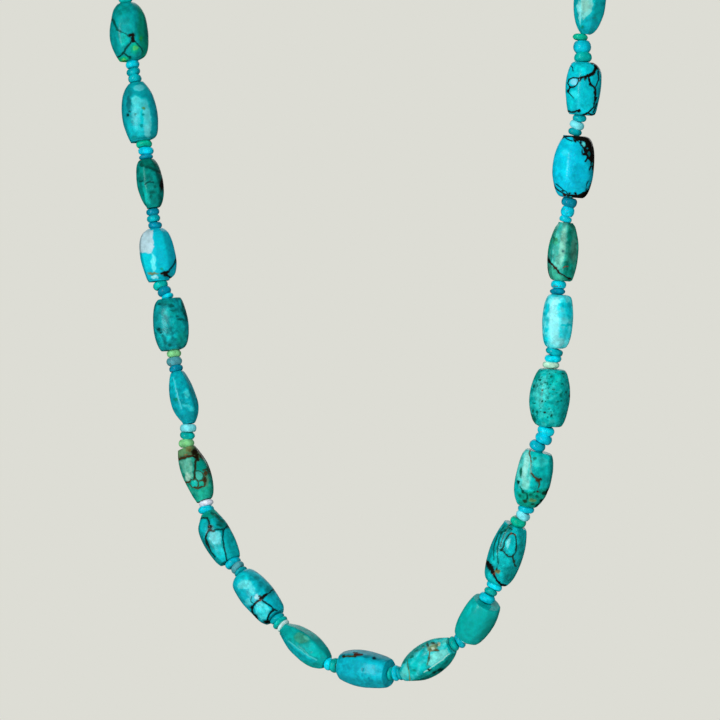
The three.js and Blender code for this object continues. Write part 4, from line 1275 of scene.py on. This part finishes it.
# A barrel: rings along its axis, each a faceted cross-section carried round by its angle, sunk a
# little along its veins
def makeBarrel(node, seat, look, seed, charted):
    away = (seat["middle"] - neckMiddle) * np.array([1, 1, 0])
    facing = toCamera if charted else unit(away)
    facing = unit(facing - facing @ seat["axis"] * seat["axis"])
    beside = np.cross(seat["axis"], facing)
    sign = 1 if seat["axis"][2] > 0 else -1  # a look's angles run to the right of an upright bead
    form = chartedGrid if charted else plainGrid
    angles = np.linspace(0, 2 * np.pi, form["around"], endpoint=False)
    share = facetShare(angles * sign, look, seed)
    reaches = (share * np.sin(angles)).max(), (-share * np.sin(angles)).max()
    sweep = np.sin(np.linspace(-np.pi / 2, np.pi / 2, form["side"]))
    widths, shifts = barrelWidths(seat, look, sweep, beside, reaches)
    along, radius, shift = barrelOutline(seat, sweep, widths, shifts, form)
    fade = seat["endRadii"][0] * barrelForm["flatFade"]
    depth = np.clip((radius - barrelForm["boreRadius"]) / fade, 0, 1)
    across = radius[:, None] * (1 + (share - 1)[None] * depth[:, None])
    spoke = np.cos(angles)[:, None] * facing + np.sin(angles)[:, None] * beside
    line = seat["middle"] + along[:, None] * seat["axis"] + shift[:, None] * beside
    grid = line[:, None] + across[..., None] * spoke[None]

    # hand-cut waviness, less at the ends, then the veins sunk a little into the surface
    onSide = np.zeros(len(along))
    onSide[:form["side"]] = 1 - np.abs(sweep) ** barrelForm["calmEnds"]
    wave = cloud(grid.reshape(-1, 3), barrelForm["waveSize"], seed + 5).reshape(grid.shape[:2])
    swell = wave * barrelForm["waviness"] * seat["radius"] * onSide[:, None]
    grid = grid + swell[..., None] * spoke[None]
    normals = gridNormals(grid)
    points = grid.reshape(-1, 3)
    stone, matrix, matrixTone = paintBarrel(points, normals.reshape(-1, 3), look, seed, charted)
    sunk = smooth(matrix, *barrelForm["sinkEdge"]).reshape(grid.shape[:2])
    sunk = sunk * barrelForm["sink"] * (onSide > 0)[:, None]
    grid = grid - sunk[..., None] * normals

    grain = 1 + barrelForm["grainShift"] * cloud(points, barrelForm["grainSize"], seed + 6)
    polish = 1 + barrelForm["polishShift"] * cloud(points, barrelForm["polishSize"], seed + 7)
    piece = gridMesh("stone_" + node, grid, True, {
        "stoneToneAndPaintedLight": stone, "matrix": matrix, "matrixTone": matrixTone,
        "grain": look["grain"] * grain, "roughness": look["polish"] * polish,
    })
    piece.data.materials.append(turquoise)
    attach(piece, "root")
    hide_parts(node)


slotOf = {part["node"]: part["material_slot"] for part in frame["record"]["subparts"]}
barrelNodes = sorted(name for name in slotOf if name.startswith("barrel_"))
seats = [barrelSeat(node, stringRun) for node in barrelNodes]
for order, (node, seat) in enumerate(zip(barrelNodes, seats)):
    charted = node in looks
    own = looks[node] if charted else hiddenLooks[order % len(hiddenLooks)]
    seed = barrelForm["firstSeed"] + order * barrelForm["seedStep"]
    makeBarrel(node, seat, fullLook(own), seed, charted)
print("barrels made:", len(seats))


# The small discs and their thread. widths are in millimetres, thick holds relative thicknesses, and
# inward is how many millimetres the group hangs towards the inside of the loop.
discTones = {
    "bright": (0, 190, 210), "teal": (0, 165, 175), "deep": (0, 140, 165), "green": (0, 186, 152),
    "cyan": (0, 198, 222), "sky": (66, 208, 226), "pale": (132, 224, 232), "lime": (136, 208, 146),
    "ice": (204, 236, 234), "grey": (96, 168, 176), "sea": (0, 180, 172), "mint": (190, 236, 212),
    "lilac": (206, 212, 226),
}
discColumns = ("widths", "thick", "inward", "tones")
frontDiscs = [dict(zip(discColumns, row)) for row in (
    ((3.6, 3.6, 3.5), (6.5, 6, 6.5), 0, "bright teal teal"),
    ((4.1, 4.0, 3.7), (7, 8, 5.5), -0.3, "green cyan deep"),
    ((3.4, 3.5, 3.5), (7, 7, 7), 0, "deep teal deep"),
    ((3.9, 3.6, 3.2), (7.5, 8, 5), -0.3, "sea deep sky"),
    ((3.7, 4.0, 3.6), (7, 8, 6.5), 0, "lime grey deep"),
    ((4.2, 3.8, 4.1), (7.5, 7, 8), -0.4, "pale sea lime"),
    ((3.7, 4.1), (5, 6), 0, "lilac sky"),
    ((4.3, 3.8, 3.6), (6.5, 6, 4.5), 0.6, "bright grey teal"),
    ((4.0, 4.3, 3.8), (6, 6, 4.5), 0.3, "teal sea ice"),
    ((3.3, 3.8, 3.5), (6, 6, 5), 0, "sky sea mint"),
    ((3.6, 4.0, 3.6), (5, 6, 5), 0, "sea sky teal"),
    ((3.9, 4.0, 3.6), (6, 6, 5), 0.3, "sea bright ice"),
    ((4.0, 3.3, 4.0), (8, 6, 7), 0, "sky sea sky"),
    ((4.0, 3.7, 4.0), (8, 8, 7), 0.2, "green pale bright"),
    ((4.1, 4.2, 4.2), (8, 8, 8), 0.5, "bright cyan sky"),
    ((4.1, 4.1, 4.2), (7, 7, 7), 0.3, "mint sky teal"),
    ((3.8, 3.7), (6, 7.5), 0.3, "deep sky"),
    ((3.1, 3.3, 3.8), (6, 10, 9), 0.1, "sky cyan deep"),
    ((3.3, 3.6, 3.4), (7, 8, 7), 0.4, "teal pale teal"),
    ((4.3, 4.4, 3.7), (10, 12, 6), 0.8, "sea bright green"),
)]
hiddenDiscs = [
    {"widths": (3.8, 3.9, 3.7), "thick": (7, 7, 7), "inward": 0, "tones": tones}
    for tones in ("teal bright sea", "deep sky teal", "sea pale bright")
]
discForm = {
    "sides": 36, "rings": 13, "seed": 41, "curveSteps": 240, "curveReach": 0.01,
    "threadRadius": 0.35 * mm, "threadTone": (40, 92, 96), "seatGap": 0.05 * mm,
    "faceShare": 0.68, "faceSpread": (0.92, 1.12),  # a flat face's radius, as a share of the rim's
    "fullness": (1.9, 2.6), "rimPower": 0.8,
    "profileHalf": 0.485,  # the rim's curve, as a share of the thickness
    "neckShare": 0.42, "neckShade": 0.35,  # the first and last ring, down at the thread and darkened with painted shade
    "tilt": 0.07, "shuffle": 0.12 * mm, "acrossOnly": 0.8, "toneSpread": (0.88, 1.1),
}
discSkin = {
    "seeds": (61, 62, 63, 64),
    "lumpSize": 3, "lumps": 0.022, "mottleSize": 1.4, "darkest": 0.86, "mottle": 0.24,
    "veinSize": 5, "veinWidth": 0.1, "veinMost": 0.62, "veinTone": (84, 52, 24),
    "grain": 0.8, "polish": 0.34, "polishSize": 2, "polishShift": 0.05,
}
claspForm = {"half": 7.0 * mm, "socketDepth": 2.6 * mm, "threadEnd": 0.3 * mm}


# A smooth curve between two ends and their directions, sampled and evened out by length: the cubic
# with its handles a third of the way along
def gapCurve(start, startRun, end, endRun):
    reach = np.linalg.norm(end - start) / 3
    share = np.linspace(0, 1, discForm["curveSteps"])[:, None]
    corners = start, start + startRun * reach, end - endRun * reach, end
    rest = 1 - share
    weights = rest ** 3, 3 * share * rest ** 2, 3 * share ** 2 * rest, share ** 3
    points = sum(weight * corner for weight, corner in zip(weights, corners))
    travelled = np.append(0, np.cumsum(np.linalg.norm(np.diff(points, axis=0), axis=1)))
    return points, travelled


# Place and direction at a given length along a sampled curve
def onCurve(curve, length):
    points, travelled = curve
    step = travelled[-1] * discForm["curveReach"]
    spots = (length, max(length - step, 0), min(length + step, travelled[-1]))
    place, before, after = (
        np.array([np.interp(spot, travelled, points[:, axis]) for axis in range(3)])
        for spot in spots
    )
    return place, unit(after - before)


# Rings of one group. A disc's outline rises from its flat face to its rim by a power curve, and
# each disc is tipped and shifted a little about its own middle.
def discRings(curve, group, source):
    thick = np.array(group["thick"], float)
    thick = thick * (curve[1][-1] - 2 * discForm["seatGap"]) / thick.sum()
    starts = discForm["seatGap"] + np.append(0, np.cumsum(thick))[:-1]
    profile = np.sin(np.linspace(-np.pi / 2, np.pi / 2, discForm["rings"]))
    neck = [discForm["neckShare"]]
    # the neck rings at the thread are darkened: painted shade between the discs
    shade = np.concatenate([[discForm["neckShade"]], np.ones(len(profile)), [discForm["neckShade"]]])
    rings = []
    for start, size, width, tone in zip(starts, thick, group["widths"], group["tones"].split()):
        fullness = source.uniform(*discForm["fullness"])
        face = discForm["faceShare"] * source.uniform(*discForm["faceSpread"])
        bulge = face + (1 - face) * (1 - np.abs(profile) ** fullness) ** discForm["rimPower"]
        offset = np.concatenate([[-0.5], profile * discForm["profileHalf"], [0.5]]) * size
        middle, run = onCurve(curve, start + size / 2)
        shift = np.cross([0, -1, 0], run) * group["inward"] * mm
        shift = shift + source.normal(size=3) * discForm["shuffle"]
        shift = shift - shift @ run * run * discForm["acrossOnly"]
        lean = unit(run + source.normal(size=3) * discForm["tilt"])
        place = middle + shift + offset[:, None] * lean
        tint = linear(discTones[tone]) * source.uniform(*discForm["toneSpread"])
        rings.append({
            "place": place, "run": np.tile(lean, (len(place), 1)),
            "radius": np.concatenate([neck, bulge, neck]) * width / 2 * mm,
            "tone": tint * shade[:, None],
        })
    return rings


# Rings of bare thread at places along its run
def threadRings(place, run):
    return {
        "place": place, "run": run, "radius": np.full(len(place), discForm["threadRadius"]),
        "tone": np.tile(linear(discForm["threadTone"]), (len(place), 1)),
    }


# The whole string as one closed sweep: thread from the clasp, a group of discs at every gap, thread
# through every barrel, and thread into the clasp again
def makeSpacerString():
    source = np.random.default_rng(discForm["seed"])
    hiddenGaps = (len(seats) - len(frontDiscs) - 1) // 2 + 1
    groups = [hiddenDiscs[step % len(hiddenDiscs)] for step in range(hiddenGaps)]
    groups = groups + frontDiscs + groups
    left = np.array([-1.0, 0, 0])
    socket = claspForm["half"] - claspForm["socketDepth"] + claspForm["threadEnd"]
    place, run = left * claspForm["half"], left
    rings = [threadRings(np.stack([left * socket, place]), np.tile(left, (2, 1)))]
    ends = [(seat["middle"] - seat["axis"] * seat["half"], seat["axis"],
             seat["middle"] + seat["axis"] * seat["half"]) for seat in seats]
    ends.append((-left * claspForm["half"], left, -left * socket))
    for group, (entry, axis, leave) in zip(groups, ends):
        curve = gapCurve(place, run, entry, axis)
        rings.append(threadRings(place[None], run[None]))
        rings += discRings(curve, group, source)
        rings.append(threadRings(np.stack([entry, leave]), np.tile(axis, (2, 1))))
        place, run = leave, axis
    place, run, radius, tone = (np.concatenate([ring[label] for ring in rings])
                                for label in ("place", "run", "radius", "tone"))
    away = (place - neckMiddle) * np.array([1, 1, 0])
    zero = unit(away - (away * run).sum(1, keepdims=True) * run)[:, None]
    quarter = np.cross(run, zero[:, 0])[:, None]
    angles = np.linspace(0, 2 * np.pi, discForm["sides"], endpoint=False)[None, :, None]
    spoke = np.cos(angles) * zero + np.sin(angles) * quarter
    grid = place[:, None] + radius[:, None, None] * spoke

    # skin: the discs' lumps, mottling and faint veins
    lumpSeed, mottleSeed, veinSeed, polishSeed = discSkin["seeds"]
    lumps = cloud(grid.reshape(-1, 3), discSkin["lumpSize"], lumpSeed).reshape(grid.shape[:2])
    lumps = np.where(radius > discForm["threadRadius"], discSkin["lumps"], 0)[:, None] * lumps
    grid = grid + (lumps * radius[:, None])[..., None] * spoke
    points = grid.reshape(-1, 3)
    mottle = smooth(cloud(points, discSkin["mottleSize"], mottleSeed), *paintForm["cloudEdge"])
    mottle = discSkin["darkest"] + discSkin["mottle"] * mottle
    crossing = np.abs(cloud(points, discSkin["veinSize"], veinSeed)) / discSkin["veinWidth"]
    polish = discSkin["polishShift"] * cloud(points, discSkin["polishSize"], polishSeed)
    piece = gridMesh("disc_string", grid, False, {
        "stoneToneAndPaintedLight": np.repeat(tone, discForm["sides"], axis=0) * mottle[:, None],
        "matrix": np.clip(1 - crossing, 0, 1) * discSkin["veinMost"],
        "matrixTone": np.tile(linear(discSkin["veinTone"]), (len(points), 1)),
        "grain": np.full(len(points), discSkin["grain"]), "roughness": discSkin["polish"] + polish,
    })
    piece.data.materials.append(turquoise)
    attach(piece, "root")
    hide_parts("spacer_string")
    print("disc string made:", len(points), "points")


makeSpacerString()


# The clasp is a turned silver barrel. Its corners are (place along, radius) in mm, from its middle
# groove to its end and into its socket, and the other half is their mirror image.
claspLook = {
    "corners": [(0.12, 2.38), (0.25, 2.5), (4.2, 2.4), (5.2, 2.05), (5.6, 1.7), (7.0, 1.7),
                (7.0, 0.65), (4.4, 0.65), (4.4, 0.0)],
    "sides": 72,
    "cut": 0.12,  # how much of each side a corner's cut takes, in mm and at most as a share of it
    "cutShare": 0.25,
    "cuts": 2,
    "least": 1e-6,  # radius that stands for nothing
}


# The clasp: its outline with each corner cut, turned round the string's line. Each cut makes a
# corner two points a short way along its two sides.
def makeClasp():
    half = np.array(claspLook["corners"])
    corners = np.concatenate([half[::-1] * (-1, 1), half]) * mm
    for _ in range(claspLook["cuts"]):
        run = np.diff(corners, axis=0)
        length = np.maximum(np.linalg.norm(run, axis=1, keepdims=True), claspLook["least"])
        step = run * np.minimum(claspLook["cutShare"], claspLook["cut"] * mm / length)
        inner = np.stack([corners[:-1] + step, corners[1:] - step], 1).reshape(-1, 2)
        corners = np.concatenate([corners[:1], inner, corners[-1:]])
    angles = np.linspace(0, 2 * np.pi, claspLook["sides"], endpoint=False)
    along, radius = corners[:, :1], np.maximum(corners[:, 1:], claspLook["least"])
    grid = np.stack([
        np.repeat(along, len(angles), 1), radius * np.cos(angles), radius * np.sin(angles),
    ], 2)
    piece = gridMesh("clasp_barrel", grid, False, {})
    piece.data.materials.append(silver)
    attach(piece, "root")
    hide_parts("clasp")


makeClasp()
print("clasp made")


# Softboxes are listed by turn and rise from the camera's line in degrees, size and distance in
# metres and power in watts. Only the mirrored ones show in the stones.
boxColumns = ("turn", "rise", "size", "power", "far", "mirrored")
softboxes = {name: dict(zip(boxColumns, row)) for name, *row in (
    ("key", -42, 8, (0.3, 0.75), 3.0, 1.15, True),
    ("wrap", -30, 8, (0.7, 1.2), 8.8, 1.2, False),
    ("fill", 14, 8, (0.6, 0.8), 8.2, 1.5, False),
    ("back", 175, 30, (1.1, 0.9), 3.6, 1.2, True),
)}
studio = {
    "floorDrop": 0.3, "floorReach": 0.58, "floorTone": (226, 226, 219), "floorGloss": 0.8,
    "backTone": (221, 221, 213), "roomGlow": 0.17, "roomMirror": 0.0,
}


# The camera, level, on the line of sight. Its lens makes one pixel pixelSize wide.
def addCamera():
    data = bpy.data.cameras.new("camera")
    data.sensor_width = shot["sensor"]
    data.lens = shot["sensor"] * shot["distance"] / (2 * shot["middlePixel"] * shot["pixelSize"])
    data.clip_start, data.clip_end = shot["near"], shot["far"]
    camera = bpy.data.objects.new("camera", data)
    camera.location = shot["target"] + toCamera * shot["distance"]
    camera.rotation_euler = (math.radians(90), 0, shotTurn)
    bpy.context.scene.collection.objects.link(camera)
    bpy.context.scene.camera = camera


# A softbox at a turn and rise from the camera's line, aimed at the middle of the string
def addSoftbox(name, box):
    data = bpy.data.lights.new(name, "AREA")
    data.shape, data.energy = "RECTANGLE", box["power"]
    data.size, data.size_y = box["size"]
    light = bpy.data.objects.new(name, data)
    heading, height = shotTurn + math.radians(box["turn"]), math.radians(box["rise"])
    level = math.cos(height)
    away = np.array([math.sin(heading) * level, -math.cos(heading) * level, math.sin(height)])
    light.location = shot["target"] + away * box["far"]
    light.rotation_euler = (math.radians(90) - height, 0, heading)
    light.visible_camera, light.visible_glossy = False, box["mirrored"]
    bpy.context.scene.collection.objects.link(light)


# The special shader for rays of a kind and the usual one for all others
def chooseByRay(nodes, links, rays, ray, usual, special):
    choice = addNode(nodes, "ShaderNodeMixShader")
    links.new(rays.outputs[ray], choice.inputs["Fac"])
    links.new(usual.outputs[0], choice.inputs[1])
    links.new(special.outputs[0], choice.inputs[2])
    return choice


# The camera sees a plain pale backdrop. A dimmer room lights the stones, and a dark one is mirrored
# in them, so that their rims keep their colour.
def addBackdrop():
    world = bpy.data.worlds.new("studio")
    bpy.context.scene.world = world
    world.use_nodes = True
    nodes, links = world.node_tree.nodes, world.node_tree.links
    backdrop = nodes["Background"]
    backdrop.inputs["Color"].default_value = (*linear(studio["backTone"]), 1)
    rays = addNode(nodes, "ShaderNodeLightPath")
    rooms = []
    for strength in (studio["roomGlow"], studio["roomMirror"]):
        room = addNode(nodes, "ShaderNodeBackground")
        room.inputs["Color"].default_value = (1, 1, 1, 1)
        room.inputs["Strength"].default_value = strength
        rooms.append(room)
    shown = chooseByRay(nodes, links, rays, "Is Glossy Ray", *rooms)
    shown = chooseByRay(nodes, links, rays, "Is Camera Ray", shown, backdrop)
    links.new(shown.outputs[0], nodes["World Output"].inputs["Surface"])


# A pale floor, a square about the middle of the string
def addFloor():
    reach, middle = studio["floorReach"], shot["target"]
    corners = [(middle[0] + x * reach, middle[1] + y * reach, -studio["floorDrop"])
               for x, y in ((-1, -1), (1, -1), (1, 1), (-1, 1))]
    mesh = bpy.data.meshes.new("floor")
    mesh.from_pydata(corners, [], [(0, 1, 2, 3)])
    floor = bpy.data.objects.new("floor", mesh)
    bpy.context.scene.collection.objects.link(floor)
    material, _, _, shader = newMaterial("floor_paper")
    shader.inputs["Base Color"].default_value = (*linear(studio["floorTone"]), 1)
    shader.inputs["Roughness"].default_value = studio["floorGloss"]
    floor.data.materials.append(material)
    floor.visible_glossy = False


addCamera()
for name, box in softboxes.items():
    addSoftbox(name, box)
addBackdrop()
addFloor()
bpy.context.scene.view_settings.view_transform = "Standard"
print("studio made")
